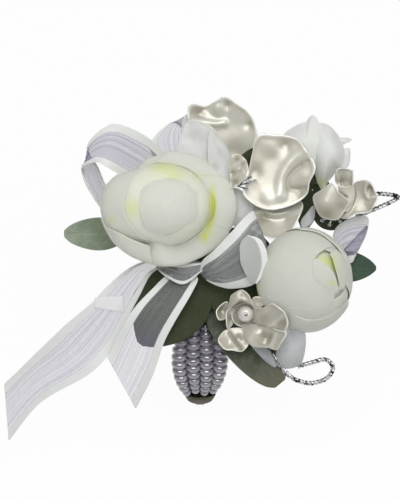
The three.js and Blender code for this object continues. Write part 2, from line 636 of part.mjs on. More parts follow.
add(spray, "centre_loop", ribbon(centreLoopUpper, centreLoopLower, 18), organza);
add(spray, "right_loop", ribbon(rightLoopLeft, rightLoopRight, 16), organza);

// Wire loops, each a length of round wire from the wrap out to a loop
function wire(points, steps) {
  const round = new THREE.Shape().absarc(0, 0, WIRE_RADIUS, 0, 2 * Math.PI);
  const extrudePath = new THREE.CatmullRomCurve3(points.map((p) => vec(...p)));
  return new THREE.ExtrudeGeometry(round, { steps, extrudePath, bevelEnabled: false, curveSegments: 3 });
}
const rightWirePath = [
  [7, 31, 6], [30, 35, -1], [56, 38, 2], [68, 37, 10], [76, 37.2, 13], [82.2, 35.9, 14], [78, 33.2, 13], [70, 29.8, 11],
  [65, 27.6, 9],
];
const bottomWirePath = [
  [3, 1, 9], [14, -14, 14], [29, -28.6, 15.4], [36.5, -37.8, 15], [42, -40.9, 14.5], [47.5, -41.4, 14],
  [53, -39.2, 14], [55.2, -34.9, 14.5], [52, -31.7, 15], [46, -33, 15.5], [40.5, -34.6, 16],
];
add(spray, "right_wire_loop", wire(rightWirePath, 30), silverWire);
add(spray, "bottom_wire_loop", wire(bottomWirePath, 30), silverWire);

fitTogether();

export default corsage;
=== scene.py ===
# %% [markdown]
# # A wrist corsage of silk blooms and pearl-lacquered flowers
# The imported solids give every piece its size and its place. This lesson dresses each of them: petals
# are grids rolled round a bud, lacquered petals are discs pulled to an outline, ribbons run between two
# edges, and beads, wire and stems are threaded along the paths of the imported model.

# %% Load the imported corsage
import math

import bpy
from mathutils import Matrix, Vector, noise


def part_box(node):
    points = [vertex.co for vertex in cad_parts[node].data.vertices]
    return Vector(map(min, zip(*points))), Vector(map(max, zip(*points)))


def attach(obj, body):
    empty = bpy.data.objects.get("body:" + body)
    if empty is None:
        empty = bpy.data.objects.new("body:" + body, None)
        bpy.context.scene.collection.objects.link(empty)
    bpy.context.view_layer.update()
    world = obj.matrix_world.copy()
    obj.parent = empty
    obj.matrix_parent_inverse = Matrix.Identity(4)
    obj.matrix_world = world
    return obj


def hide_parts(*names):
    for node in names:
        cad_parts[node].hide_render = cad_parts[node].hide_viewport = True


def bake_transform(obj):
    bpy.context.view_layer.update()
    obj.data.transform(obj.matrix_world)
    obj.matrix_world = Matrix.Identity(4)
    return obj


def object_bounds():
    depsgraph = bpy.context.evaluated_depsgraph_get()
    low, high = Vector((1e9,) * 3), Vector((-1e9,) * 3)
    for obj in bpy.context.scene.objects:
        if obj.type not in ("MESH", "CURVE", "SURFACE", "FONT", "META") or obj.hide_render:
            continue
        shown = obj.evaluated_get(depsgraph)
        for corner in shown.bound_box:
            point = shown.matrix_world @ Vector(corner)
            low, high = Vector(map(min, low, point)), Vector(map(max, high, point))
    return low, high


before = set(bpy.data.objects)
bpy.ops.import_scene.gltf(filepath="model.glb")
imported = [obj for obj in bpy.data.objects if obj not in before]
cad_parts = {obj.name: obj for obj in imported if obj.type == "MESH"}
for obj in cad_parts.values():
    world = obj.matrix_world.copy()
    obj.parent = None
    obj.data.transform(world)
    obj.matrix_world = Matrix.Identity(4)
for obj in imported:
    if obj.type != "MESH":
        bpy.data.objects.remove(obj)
cad_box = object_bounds()
MM = 0.001
ROOT = "corsage"

# %% [markdown]
# ## Two frames
# The spray of flowers leans over the plate of the wristband by the same angle as the camera looks down,
# so in the spray's own frame X runs to the right of the picture, Y up it and Z towards the eye. Places
# that were read off the photograph are written as its pixels and turned into millimetres of that frame.

# %% The spray's frame and the scale of the photograph
SPRAY_TILT_DEG = 40
PIXEL_MM = 0.42
PHOTO_ZERO = (200, 283)
PICTURE_SIZE = (400, 500)
plate_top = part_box("base_plate")[1].z


def turned(degrees, axis):
    return Matrix.Rotation(math.radians(degrees), 4, axis)


def moved(place):
    return Matrix.Translation(place)


SPRAY = moved((0, 0, plate_top)) @ turned(SPRAY_TILT_DEG, "X") @ Matrix.Scale(MM, 4)
BAND = Matrix.Scale(MM, 4)


def from_photo(across, down, depth):
    x = (across - PHOTO_ZERO[0]) * PIXEL_MM
    y = (PHOTO_ZERO[1] - down) * PIXEL_MM
    return Vector((x, y, depth))


print("spray leans", SPRAY_TILT_DEG, "degrees over a plate top at", round(plate_top / MM, 1), "mm")

# %% [markdown]
# ## Helpers for node trees
# Sky, floor and finishes are all node trees. These helpers add a node, feed its sockets with a value or
# a link and hand back its output, so that each tree below reads as a short recipe.

# %% Helpers for node trees
def feed(tree, socket, value):
    if isinstance(value, bpy.types.NodeSocket):
        tree.links.new(value, socket)
    else:
        socket.default_value = value


def put(tree, kind, **sockets):
    made = tree.nodes.new(kind)
    for name, value in sockets.items():
        feed(tree, made.inputs[name.replace("_", " ")], value)
    return made


def combined(tree, operation, one, other=0.0):
    made = tree.nodes.new("ShaderNodeMath")
    made.operation = operation
    for socket, value in zip(made.inputs, (one, other)):
        feed(tree, socket, value)
    return made.outputs[0]


def ramp(tree, value, low, high, start=0.0, end=1.0):
    made = put(
        tree, "ShaderNodeMapRange", Value=value, From_Min=low, From_Max=high, To_Min=start, To_Max=end,
    )
    made.interpolation_type = "SMOOTHSTEP"
    return made.outputs["Result"]


def mixed(tree, factor, one, other):
    made = tree.nodes.new("ShaderNodeMix")
    made.data_type = "RGBA"
    feed(tree, made.inputs[0], factor)
    colours = [socket for socket in made.inputs if socket.type == "RGBA"]
    for socket, value in zip(colours, (one, other)):
        linked = isinstance(value, bpy.types.NodeSocket)
        feed(tree, socket, value if linked else (*value, 1))
    return next(socket for socket in made.outputs if socket.type == "RGBA")


def coordinates(tree, kind):
    return tree.nodes.new("ShaderNodeTexCoord").outputs[kind]


print("node helpers ready")

# %% [markdown]
# ## Camera
# The camera looks along the spray's own Z axis. A long lens far away keeps the flowers in proportion,
# and its length follows from the height of the picture in millimetres.

# %% Camera
EYE_DISTANCE = 1.4
SENSOR_MM = 36
picture_middle = SPRAY @ from_photo(PICTURE_SIZE[0] / 2, PICTURE_SIZE[1] / 2, 0)
eye_line = (SPRAY.to_3x3() @ Vector((0, 0, 1))).normalized()
bpy.ops.object.select_all(action="DESELECT")
bpy.ops.object.camera_add(location=picture_middle + EYE_DISTANCE * eye_line)
camera = bpy.context.object
camera.rotation_euler = (math.radians(SPRAY_TILT_DEG), 0, 0)
camera.data.sensor_width = SENSOR_MM
camera.data.lens = SENSOR_MM * EYE_DISTANCE / (PICTURE_SIZE[1] * PIXEL_MM * MM)
bpy.context.scene.camera = camera
bpy.context.scene.view_settings.view_transform = "Standard"
print("camera lens", round(camera.data.lens, 1), "mm")

# %% [markdown]
# ## Softboxes and sky
# One wide softbox overhead, a weaker one at each side and a grey sky light the corsage at a plain
# level. The sky is a little brighter overhead, so that rounded petals shade off towards their
# undersides.

# %% Softboxes
SOFTBOXES = {
    "overhead_softbox": ((0.05, -0.32, 1.2), 0.9, 10.2),
    "left_softbox": ((-0.9, -0.5, 0.55), 0.5, 0.5),
    "right_softbox": ((0.9, -0.45, 0.5), 0.5, 0.9),
}
for name, (place, width, power) in SOFTBOXES.items():
    aim = (picture_middle - Vector(place)).to_track_quat("-Z", "Y").to_euler()
    bpy.ops.object.light_add(type="AREA", location=place, rotation=aim)
    softbox = bpy.context.object
    softbox.name = name
    softbox.data.size = width
    softbox.data.energy = power
print("softboxes:", list(SOFTBOXES))

# %% Sky
SKY_LOW = -0.2
SKY_HIGH = 0.9
SKY_LOW_GREY = 0.24
SKY_HIGH_GREY = 0.46
world = bpy.data.worlds.new("studio_sky")
bpy.context.scene.world = world
world.use_nodes = True
sky = world.node_tree
sky_place = put(sky, "ShaderNodeSeparateXYZ", Vector=coordinates(sky, "Generated"))
sky_grey = put(
    sky, "ShaderNodeMapRange", Value=sky_place.outputs["Z"], From_Min=SKY_LOW, From_Max=SKY_HIGH,
    To_Min=SKY_LOW_GREY, To_Max=SKY_HIGH_GREY,
)
sky.links.new(sky_grey.outputs["Result"], sky.nodes["Background"].inputs["Color"])
print("sky grey from", SKY_LOW_GREY, "to", SKY_HIGH_GREY)

# %% [markdown]
# ## Floor
# The floor is white to the eye and to mirrors through the Light Path node, and keeps a little of its
# own shading, so a faint shadow stays.

# %% Floor
FLOOR_SIZE = 8
FLOOR_DROP = 0.0004
FLOOR_GREY = (0.74, 0.74, 0.74, 1)
FLOOR_ROUGHNESS = 0.9
FLOOR_WHITE_SHARE = 0.96
bpy.ops.object.select_all(action="DESELECT")
bpy.ops.mesh.primitive_plane_add(size=FLOOR_SIZE, location=(0, 0, cad_box[0].z - FLOOR_DROP))
floor = bpy.context.object
floor.name = "studio_floor"
floor_finish = bpy.data.materials.new("studio_floor")
floor_finish.use_nodes = True
floor.data.materials.append(floor_finish)
floor_tree = floor_finish.node_tree
floor_shader = floor_tree.nodes["Principled BSDF"]
floor_shader.inputs["Base Color"].default_value = FLOOR_GREY
floor_shader.inputs["Roughness"].default_value = FLOOR_ROUGHNESS
ray = floor_tree.nodes.new("ShaderNodeLightPath").outputs
mirrored = combined(floor_tree, "MAXIMUM", ray["Is Glossy Ray"], ray["Is Transmission Ray"])
seen = combined(floor_tree, "MAXIMUM", ray["Is Camera Ray"], mirrored)
floor_mix = put(
    floor_tree, "ShaderNodeMixShader", Fac=combined(floor_tree, "MULTIPLY", seen, FLOOR_WHITE_SHARE),
)
glow = floor_tree.nodes.new("ShaderNodeEmission")
floor_tree.links.new(floor_shader.outputs[0], floor_mix.inputs[1])
floor_tree.links.new(glow.outputs[0], floor_mix.inputs[2])
floor_tree.links.new(floor_mix.outputs[0], floor_tree.nodes["Material Output"].inputs["Surface"])
print("floor at", round(floor.location.z / MM, 2), "mm")

# %% [markdown]
# ## Shared effects
# Silk, felt, leaf, tape and lacquer all have a grain: broad patches of tone and a fine roughness. It is
# built once as a node group and placed in each material at its own scale. Ribbon, elastic and silk
# threads are lines that follow the piece's own UV map, in a second group.

# %% Helpers for node groups
def new_group(name, inputs, outputs):
    group = bpy.data.node_groups.new(name, "ShaderNodeTree")
    for label, value in inputs.items():
        socket = group.interface.new_socket(label, in_out="INPUT", socket_type="NodeSocketFloat")
        socket.default_value = value
    for label in outputs:
        group.interface.new_socket(label, in_out="OUTPUT", socket_type="NodeSocketFloat")
    return group, group.nodes.new("NodeGroupInput"), group.nodes.new("NodeGroupOutput")


def use_group(tree, group, **values):
    made = tree.nodes.new("ShaderNodeGroup")
    made.node_tree = group
    for label, value in values.items():
        made.inputs[label].default_value = value
    return made.outputs

# %% Grain: patches of tone and a fine roughness, on Object coordinates
PATCH_ENDS = (0.3, 0.7)
grain, grain_in, grain_out = new_group("grain", {"Patches": 90, "Fine": 2500}, ["Tone", "Height"])
spot = coordinates(grain, "Object")
patches = put(grain, "ShaderNodeTexNoise", Vector=spot, Scale=grain_in.outputs["Patches"], Detail=3)
fine = put(grain, "ShaderNodeTexNoise", Vector=spot, Scale=grain_in.outputs["Fine"], Detail=2)
grain.links.new(ramp(grain, patches.outputs[0], *PATCH_ENDS), grain_out.inputs["Tone"])
grain.links.new(fine.outputs[0], grain_out.inputs["Height"])

# %% Threads: fine lines along a strip of cloth, on its UV map
LINE_ENDS = (0.36, 0.64)
CROSS_ENDS = (0.35, 0.65)
CROSS_ACROSS = 6.0
CROSS_TO_ALONG = 60.0
threads, threads_in, threads_out = new_group("threads", {"Across": 60, "Along": 4}, ["Lines", "Cross"])
strip = put(threads, "ShaderNodeSeparateXYZ", Vector=coordinates(threads, "UV")).outputs


def stretched_noise(across, along, **settings):
    x = combined(threads, "MULTIPLY", strip["X"], across)
    y = combined(threads, "MULTIPLY", strip["Y"], along)
    stretched = put(threads, "ShaderNodeCombineXYZ", X=x, Y=y).outputs[0]
    streaks = put(threads, "ShaderNodeTexNoise", Vector=stretched, Scale=1.0, **settings)
    return streaks.outputs[0]


lines = stretched_noise(
    threads_in.outputs["Across"], threads_in.outputs["Along"], Detail=3, Roughness=0.7,
)
cross_along = combined(threads, "MULTIPLY", threads_in.outputs["Along"], CROSS_TO_ALONG)
cross = stretched_noise(CROSS_ACROSS, cross_along, Detail=2)
threads.links.new(ramp(threads, lines, *LINE_ENDS), threads_out.inputs["Lines"])
threads.links.new(ramp(threads, cross, *CROSS_ENDS), threads_out.inputs["Cross"])
print("node groups:", [group.name for group in bpy.data.node_groups])

# %% [markdown]
# ## Finishes
# Each material is one Principled shader. Numbers that are the same all over sit on its sockets, and
# only what changes over the surface is linked: the colour, the roughness, the bump, the alpha of the
# sheer ribbon and how metallic the worn gold is.

# %% A base for every finish
def finish(name, **sockets):
    material = bpy.data.materials.new(name)
    material.use_nodes = True
    tree = material.node_tree
    shader = tree.nodes["Principled BSDF"].inputs
    for label, value in sockets.items():
        shader[label.replace("_", " ")].default_value = value
    return material, tree, shader


def bumped(tree, shader, height, distance, strength=1.0):
    bump = put(tree, "ShaderNodeBump", Height=height, Distance=distance, Strength=strength)
    tree.links.new(bump.outputs[0], shader["Normal"])


def uv_place(tree):
    return put(tree, "ShaderNodeSeparateXYZ", Vector=coordinates(tree, "UV")).outputs


def attribute(tree, name):
    made = tree.nodes.new("ShaderNodeAttribute")
    made.attribute_name = name
    return made.outputs["Fac"]


def toned_finish(name, patches, fine, tones, roughness=None, bump=None, **sockets):
    material, tree, shader = finish(name, **sockets)
    toned = use_group(tree, grain, Patches=patches, Fine=fine)
    tree.links.new(mixed(tree, toned["Tone"], *tones), shader["Base Color"])
    if roughness:
        tree.links.new(ramp(tree, toned["Tone"], 0, 1, *roughness), shader["Roughness"])
    if bump:
        bumped(tree, shader, toned["Height"], *bump)
    return material

# %% [markdown]
# ## Silk
# The petals are cream silk that turns yellow-green towards the base of each bloom. The petal's UV
# height runs from base to rim, so a ramp on it gives the green, and a painted tint adds more in the
# clefts. A little subsurface light keeps the folds soft, as thin cloth does.

# %% Silk
SILK_CREAM = (0.765, 0.78, 0.66)
# Painted shade: a darker copy of the cream silk, for the medium bloom
SILK_IN_PAINTED_SHADE = (0.675, 0.69, 0.585)
SILK_WHITE = (0.74, 0.745, 0.72)
SILK_GREEN = (0.67, 0.73, 0.12)
SILK_ROSE = (0.86, 0.87, 0.80)
SILK_SATIN = (0.50, 0.525, 0.53)
# Near-white satin for the fold across the long tail, also a painted highlight
STRIP_WHITE_HIGHLIGHT = (0.9, 0.9, 0.89)
SILK_GRAIN = {"Patches": 70, "Fine": 3800}
PATCH_SHARE = 0.965
SILK_POLISH = 0.1
SILK_BUMP = (0.0001, 0.4)
SILK_DEPTH = {
    "Subsurface_Weight": 0.35, "Subsurface_Radius": (1, 0.95, 0.75), "Subsurface_Scale": 0.004,
}
FACE_GREEN = (0.1, 0.42)
LINING_GREEN = (0.2, 0.75)
NO_GREEN = (-0.5, -0.4)


def silk(name, colour, green_ends, roughness=0.78):
    material, tree, shader = finish(name, Sheen_Weight=0.08, Sheen_Roughness=0.5, **SILK_DEPTH)
    toned = use_group(tree, grain, **SILK_GRAIN)
    lined = use_group(tree, threads, Across=46, Along=2)
    cream = ramp(tree, uv_place(tree)["Y"], *green_ends)
    clean = combined(tree, "SUBTRACT", cream, attribute(tree, "tint"))
    patched = mixed(tree, toned["Tone"], [PATCH_SHARE * c for c in colour], colour)
    tree.links.new(mixed(tree, clean, SILK_GREEN, patched), shader["Base Color"])
    tree.links.new(
        ramp(tree, toned["Tone"], 0, 1, roughness, roughness - SILK_POLISH), shader["Roughness"],
    )
    bumped(tree, shader, combined(tree, "ADD", toned["Height"], lined["Lines"]), *SILK_BUMP)
    return material


petal_face = silk("silk_petal_face", SILK_CREAM, FACE_GREEN)
petal_lining = silk("silk_petal_lining", SILK_CREAM, LINING_GREEN)
plain_face = silk("silk_plain_face", SILK_CREAM, NO_GREEN)
shade_face = silk("silk_shade_face", SILK_IN_PAINTED_SHADE, FACE_GREEN)
shade_lining = silk("silk_shade_lining", SILK_IN_PAINTED_SHADE, LINING_GREEN)
shade_plain = silk("silk_shade_plain", SILK_IN_PAINTED_SHADE, NO_GREEN)
flared_face = silk("silk_flared_face", SILK_WHITE, NO_GREEN)
satin_fold_highlight = silk("satin_fold_highlight", STRIP_WHITE_HIGHLIGHT, NO_GREEN, roughness=0.35)
rose_face = silk("silk_rose_face", SILK_ROSE, NO_GREEN)
satin_face = silk("satin_petal_face", SILK_SATIN, NO_GREEN, roughness=0.5)
print("silks made")

# %% [markdown]
# ## Pearl lacquer
# The pearl flowers are dipped in a champagne metallic. Painted shade darkens the hollows and a painted
# highlight lightens the rims. The painted shade is worked out on each petal from its own dents, and the
# rim is found from the UV square, whose border is the petal's edge.

# %% Pearl lacquer
LACQUER_PALE = (0.65, 0.635, 0.555)
LACQUER_MOTTLE_AND_SHADE = (0.36, 0.335, 0.265)
LACQUER_RIM_HIGHLIGHT = (0.76, 0.75, 0.70)
MOTTLE = 0.25
RIM_HIGHLIGHT_ENDS = (0.455, 0.485)
LACQUER_ROUGHNESS = (0.33, 0.42)
LACQUER_BUMP = (0.00005, 0.3)
UV_MIDDLE = 0.5


def from_uv_middle(tree, axis):
    offset = combined(tree, "SUBTRACT", uv_place(tree)[axis], UV_MIDDLE)
    return combined(tree, "ABSOLUTE", offset)


pearl_lacquer, tree, shader = finish(
    "pearl_lacquer", Metallic=0.28, Coat_Weight=0.3, Coat_Roughness=0.2,
)
toned = use_group(tree, grain, Patches=48, Fine=1400)
# Painted shade: the hollow attribute darkens dents and whole petals, added to a random mottle
mottle_and_shade = combined(tree, "ADD", attribute(tree, "hollow"), combined(tree, "MULTIPLY", toned["Tone"], MOTTLE))
reach = combined(tree, "MAXIMUM", from_uv_middle(tree, "X"), from_uv_middle(tree, "Y"))
body_colour = mixed(tree, mottle_and_shade, LACQUER_PALE, LACQUER_MOTTLE_AND_SHADE)
# Painted highlight: a pale band along each petal's rim
tree.links.new(
    mixed(tree, ramp(tree, reach, *RIM_HIGHLIGHT_ENDS), body_colour, LACQUER_RIM_HIGHLIGHT), shader["Base Color"],
)
tree.links.new(ramp(tree, toned["Tone"], 0, 1, *LACQUER_ROUGHNESS), shader["Roughness"])
bumped(tree, shader, toned["Height"], *LACQUER_BUMP)
print("lacquer made")

# %% [markdown]
# ## Leaf felt
# The leaves are felted: pale dusty fuzz over a darker green, thicker on the left leaf than on the
# others, and thicker still along the veins. The bottom leaf is dry and brown at its tip, which is the
# top of its UV map.

# %% Leaf finishes
FUZZ_GREY = (0.37, 0.41, 0.34)
DRY_BROWN = (0.15, 0.135, 0.10)
SPECKLE_ENDS = (0.4, 0.75)
VEIN_FUZZ_SHARE = 0.5
DRY_ENDS = (0.7, 1.0)
LEAF_BUMP = (0.00025, 0.8)


def leaf_finish(name, green, fuzz, brown_tip=0.0):
    material, tree, shader = finish(name, Roughness=0.85, Sheen_Weight=0.12, Sheen_Roughness=0.4)
    toned = use_group(tree, grain, Patches=150, Fine=2600)
    speckle = ramp(tree, toned["Height"], *SPECKLE_ENDS)
    dusty = combined(tree, "MULTIPLY", combined(tree, "ADD", speckle, toned["Tone"]), fuzz)
    on_veins = combined(tree, "MULTIPLY", attribute(tree, "vein"), VEIN_FUZZ_SHARE * fuzz)
    felted = mixed(tree, combined(tree, "ADD", dusty, on_veins), green, FUZZ_GREY)
    dry = ramp(tree, uv_place(tree)["Y"], *DRY_ENDS, 0, brown_tip)
    tree.links.new(mixed(tree, dry, felted, DRY_BROWN), shader["Base Color"])
    bumped(tree, shader, toned["Height"], *LEAF_BUMP)
    return material


sage_leaf = leaf_finish("sage_leaf", (0.19, 0.24, 0.16), fuzz=0.46)
olive_leaf = leaf_finish("olive_leaf", (0.028, 0.037, 0.011), fuzz=0.02)
dusty_leaf = leaf_finish("dusty_leaf", (0.034, 0.046, 0.02), fuzz=0.14, brown_tip=0.75)
deep_leaf = leaf_finish("deep_leaf", (0.03, 0.062, 0.036), fuzz=0.05)
print("leaf finishes made")

# %% [markdown]
# ## Stem tape and felt
# Stems are wound with green paper tape, and a pad of dark green felt lies under the plate. Both need
# only the grain: two tones and a bump.

# %% Stem tape and felt
TAPE_TONES = ((0.03, 0.055, 0.022), (0.06, 0.10, 0.04))
FELT_TONES = ((0.028, 0.045, 0.022), (0.05, 0.08, 0.04))
stem_tape = toned_finish(
    "stem_tape", patches=220, fine=3000, tones=TAPE_TONES, bump=(0.0002, 0.7), Roughness=0.68,
)
felt = toned_finish(
    "felt", patches=400, fine=5000, tones=FELT_TONES, bump=(0.0004, 1.0), Roughness=0.95,
    Sheen_Weight=0.5, Sheen_Roughness=0.5,
)
print("tape and felt made")

# %% [markdown]
# ## Sheer ribbon
# The ribbon is organza between two satin edges. Its cover is the shader's alpha: thin over most of the
# width, a little thicker on the dark threads, almost full on the satin. The organza looks grey near the
# knot and lilac further out, so the ground colour changes along the UV map. Loops that lie double are
# given a thicker organza, and the fold that stands up in the middle shows plain satin.

# %% Sheer ribbon
ORGANZA_GREY = (0.235, 0.245, 0.245)
ORGANZA_LILAC = (0.21, 0.20, 0.30)
ORGANZA_SILVER = (0.47, 0.455, 0.565)
ORGANZA_PALE = (0.48, 0.49, 0.485)
SATIN_WHITE = (0.76, 0.775, 0.76)
SATIN_EDGE_SHARE = 0.18
SATIN_BLUR = 0.012
SATIN_COVER = 0.95
LILAC_FADE = 0.2
CROSS_SHARE = 0.2
THREAD_ENDS = (0.1, 1.1)
ORGANZA_BUMP = (0.0001, 0.6)


def organza_finish(name, thin, thick, grey_until):
    material, tree, shader = finish(name, Sheen_Weight=0.2, Sheen_Roughness=0.3)
    woven = use_group(tree, threads, Across=40, Along=0.8)
    satin_from = UV_MIDDLE - SATIN_EDGE_SHARE
    edge = ramp(tree, from_uv_middle(tree, "X"), satin_from - SATIN_BLUR, satin_from + SATIN_BLUR)
    out = ramp(tree, uv_place(tree)["Y"], grey_until, grey_until + LILAC_FADE)
    ground = mixed(tree, out, ORGANZA_GREY, ORGANZA_LILAC)
    shine = mixed(tree, out, ORGANZA_PALE, ORGANZA_SILVER)
    sheer_colour = mixed(tree, woven["Lines"], ground, shine)
    tree.links.new(mixed(tree, edge, sheer_colour, SATIN_WHITE), shader["Base Color"])
    cross = combined(tree, "MULTIPLY", woven["Cross"], CROSS_SHARE)
    thread = combined(tree, "ADD", woven["Lines"], cross)
    sheer_cover = ramp(tree, thread, *THREAD_ENDS, thick, thin)
    cover = put(tree, "ShaderNodeMix", Factor=edge, A=sheer_cover, B=SATIN_COVER)
    tree.links.new(cover.outputs[0], shader["Alpha"])
    tree.links.new(ramp(tree, edge, 0, 1, start=0.5, end=0.36), shader["Roughness"])
    bumped(tree, shader, thread, *ORGANZA_BUMP)
    return material


organza = organza_finish("organza_ribbon", thin=0.25, thick=0.32, grey_until=0.1)
short_organza = organza_finish("short_organza", thin=0.19, thick=0.26, grey_until=0.55)
double_organza = organza_finish("double_organza", thin=0.36, thick=0.44, grey_until=0.1)
knot_organza = organza_finish("knot_organza", thin=0.38, thick=0.46, grey_until=1.0)
print("organza made")

# %% Folded satin
SATIN_GREY = (0.42, 0.432, 0.41)
SATIN_PATCH_SHARE = 0.95
OUTER_ENDS = (0.72, 0.82)
folded_satin, tree, shader = finish("folded_satin", Sheen_Weight=0.1, Sheen_Roughness=0.4)
toned = use_group(tree, grain, **SILK_GRAIN)
outer = ramp(tree, uv_place(tree)["X"], *OUTER_ENDS)
inner = mixed(tree, toned["Tone"], [SATIN_PATCH_SHARE * c for c in SATIN_GREY], SATIN_GREY)
tree.links.new(mixed(tree, outer, inner, SATIN_WHITE), shader["Base Color"])
tree.links.new(ramp(tree, toned["Tone"], 0, 1, start=0.5, end=0.4), shader["Roughness"])
print("satin made")

# %% [markdown]
# ## Metals and beads
# The wire is silver, with near-black patches painted on as painted reflections. The beads are glass with
# a mauve mirror inside, so a strong clear coat lies over a dull, slightly metallic colour. The gold of
# the
# caps is antique: dark in the hollows and polished where it rubs, which is painted on each piece. On the
# caps the polished rim also stands in as a painted highlight.

# %% Metals and beads
SILVER = (0.64, 0.64, 0.66)
PAINTED_DARK_REFLECTION = (0.04, 0.04, 0.045)
DARK_REFLECTION_ENDS = (0.5, 0.85)
silver_wire, tree, shader = finish("silver_wire", Metallic=1)
toned = use_group(tree, grain, Patches=520, Fine=2500)
# Painted reflection: near-black patches on the bright silver
tree.links.new(
    mixed(tree, ramp(tree, toned["Tone"], *DARK_REFLECTION_ENDS), SILVER, PAINTED_DARK_REFLECTION), shader["Base Color"],
)
tree.links.new(ramp(tree, toned["Tone"], 0, 1, start=0.12, end=0.3), shader["Roughness"])

MAUVE_TONES = ((0.17, 0.16, 0.19), (0.23, 0.215, 0.25))
mirror_bead = toned_finish(
    "mirror_bead", patches=160, fine=1500, tones=MAUVE_TONES, roughness=(0.16, 0.24), Metallic=0.25,
    Coat_Weight=1.0, Coat_Roughness=0.03, Coat_IOR=2.2,
)

AGED_DARK = (0.032, 0.027, 0.013)
AGED_PALE = (0.075, 0.062, 0.032)
POLISH_AND_HIGHLIGHT_GOLD = (0.86, 0.80, 0.62)
antique_gold, tree, shader = finish("antique_gold")
toned = use_group(tree, grain, Patches=320, Fine=2600)
# Polished gold; on the caps it also stands in as a painted highlight
polish_and_highlight = attribute(tree, "polish_and_highlight")
aged = mixed(tree, toned["Tone"], AGED_DARK, AGED_PALE)
tree.links.new(mixed(tree, polish_and_highlight, aged, POLISH_AND_HIGHLIGHT_GOLD), shader["Base Color"])
tree.links.new(ramp(tree, polish_and_highlight, 0, 1, start=0.2, end=1), shader["Metallic"])
tree.links.new(ramp(tree, polish_and_highlight, 0, 1, start=0.55, end=0.14), shader["Roughness"])
bumped(tree, shader, toned["Height"], distance=0.00008, strength=0.5)
print("metals made")

# %% [markdown]
# ## Elastic, crystal and round pearl
# The strap is white woven elastic, lined by the thread group. The stamens end in clear crystals, and
# the pearl is a soft champagne bead under a glossy coat.

# %% Elastic, crystal and round pearl
ELASTIC_TONES = ((0.62, 0.62, 0.60), (0.78, 0.78, 0.76))
elastic_cloth, tree, shader = finish("elastic_cloth", Roughness=0.85, Sheen_Weight=0.2)
woven = use_group(tree, threads, Across=30, Along=3)
tree.links.new(mixed(tree, woven["Lines"], *ELASTIC_TONES), shader["Base Color"])
bumped(tree, shader, woven["Cross"], distance=0.0002, strength=0.8)

CRYSTAL_TONES = ((0.95, 0.95, 0.97), (0.86, 0.87, 0.90))
crystal = toned_finish(
    "crystal", patches=500, fine=3000, tones=CRYSTAL_TONES, roughness=(0.02, 0.06),
    Transmission_Weight=0.85, IOR=1.6, Coat_Weight=0.5,
)

PEARL_TONES = ((0.70, 0.655, 0.60), (0.60, 0.56, 0.53))
round_pearl = toned_finish(
    "round_pearl", patches=260, fine=2000, tones=PEARL_TONES, roughness=(0.26, 0.36), Metallic=0.15,
    Coat_Weight=0.9, Coat_Roughness=0.08,
)
print("finishes:", len(bpy.data.materials))

# %% [markdown]
# ## How the pieces are modelled
# Almost every piece here is a thin skin, so each starts as one grid from the Add menu. Its points are
# carried to a curved place by a short formula, and Solidify and Subdivision Surface then give it a wall
# with a soft rim. Tubes are the same grid rolled up: the seam is merged and the ends are filled.

# %% Adding, shaping and smoothing
def select_only(piece):
    bpy.ops.object.select_all(action="DESELECT")
    piece.select_set(True)
    bpy.context.view_layer.objects.active = piece


def add_grid(name, across, along):
    bpy.ops.object.select_all(action="DESELECT")
    bpy.ops.mesh.primitive_grid_add(x_subdivisions=across, y_subdivisions=along, size=2)
    piece = bpy.context.object
    piece.name = name
    piece.data.name = name
    return piece


def shape(piece, place, matrix):
    for vertex in piece.data.vertices:
        vertex.co = matrix @ place(vertex.co.x, (vertex.co.y + 1) / 2)


def apply_modifier(piece, kind, **settings):
    select_only(piece)
    modifier = piece.modifiers.new(kind.lower(), kind)
    for name, value in settings.items():
        setattr(modifier, name, value)
    bpy.ops.object.modifier_apply(modifier=modifier.name)


def smooth(piece, levels):
    apply_modifier(piece, "SUBSURF", levels=levels, render_levels=levels)
    bpy.ops.object.shade_smooth()

# %% Skins and rolled shapes
def skin(name, place, matrix, size, thickness, materials):
    piece = add_grid(name, *size)
    shape(piece, place, matrix)
    for material in materials:
        piece.data.materials.append(material)
    lining = len(materials) - 1
    apply_modifier(piece, "SOLIDIFY", thickness=thickness * MM, offset=0, material_offset=lining)
    smooth(piece, levels=1)
    return piece


MERGE_DISTANCE = 1e-6


def roll(name, place, matrix, size, material):
    piece = add_grid(name, *size)
    shape(piece, place, matrix)
    piece.data.materials.append(material)
    bpy.ops.object.mode_set(mode="EDIT")
    bpy.ops.mesh.select_all(action="SELECT")
    bpy.ops.mesh.remove_doubles(threshold=MERGE_DISTANCE)
    bpy.ops.mesh.fill_holes(sides=0)
    bpy.ops.mesh.normals_make_consistent(inside=False)
    bpy.ops.object.mode_set(mode="OBJECT")
    bpy.ops.object.shade_smooth()
    return piece

# %% Joining, seating and painting
def join(name, pieces):
    bpy.ops.object.select_all(action="DESELECT")
    for piece in pieces:
        piece.select_set(True)
    bpy.context.view_layer.objects.active = pieces[0]
    bpy.ops.object.join()
    pieces[0].name = name
    return pieces[0]


def seat(piece, nodes, body=ROOT):
    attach(piece, body)
    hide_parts(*nodes)
    return piece


def paint(piece, name, value_at):
    layer = piece.data.attributes.new(name, "FLOAT", "POINT")
    layer.data.foreach_set("value", [value_at(vertex.co) for vertex in piece.data.vertices])


print("modelling helpers ready")

# %% [markdown]
# ## Curves and small formulas
# Outlines and paths are given by a few points each, and `through` draws a smooth curve through them.
# The other formulas blend values, step them softly, crumple a surface and lay a tube along a path.

# %% Blends, steps and curves
def mix(one, other, share):
    return one + (other - one) * share


def rise(value, low, high):
    share = min(max((value - low) / (high - low), 0.0), 1.0)
    return share * share * (3 - 2 * share)


def sin_deg(degrees):
    return math.sin(math.radians(degrees))


def cos_deg(degrees):
    return math.cos(math.radians(degrees))


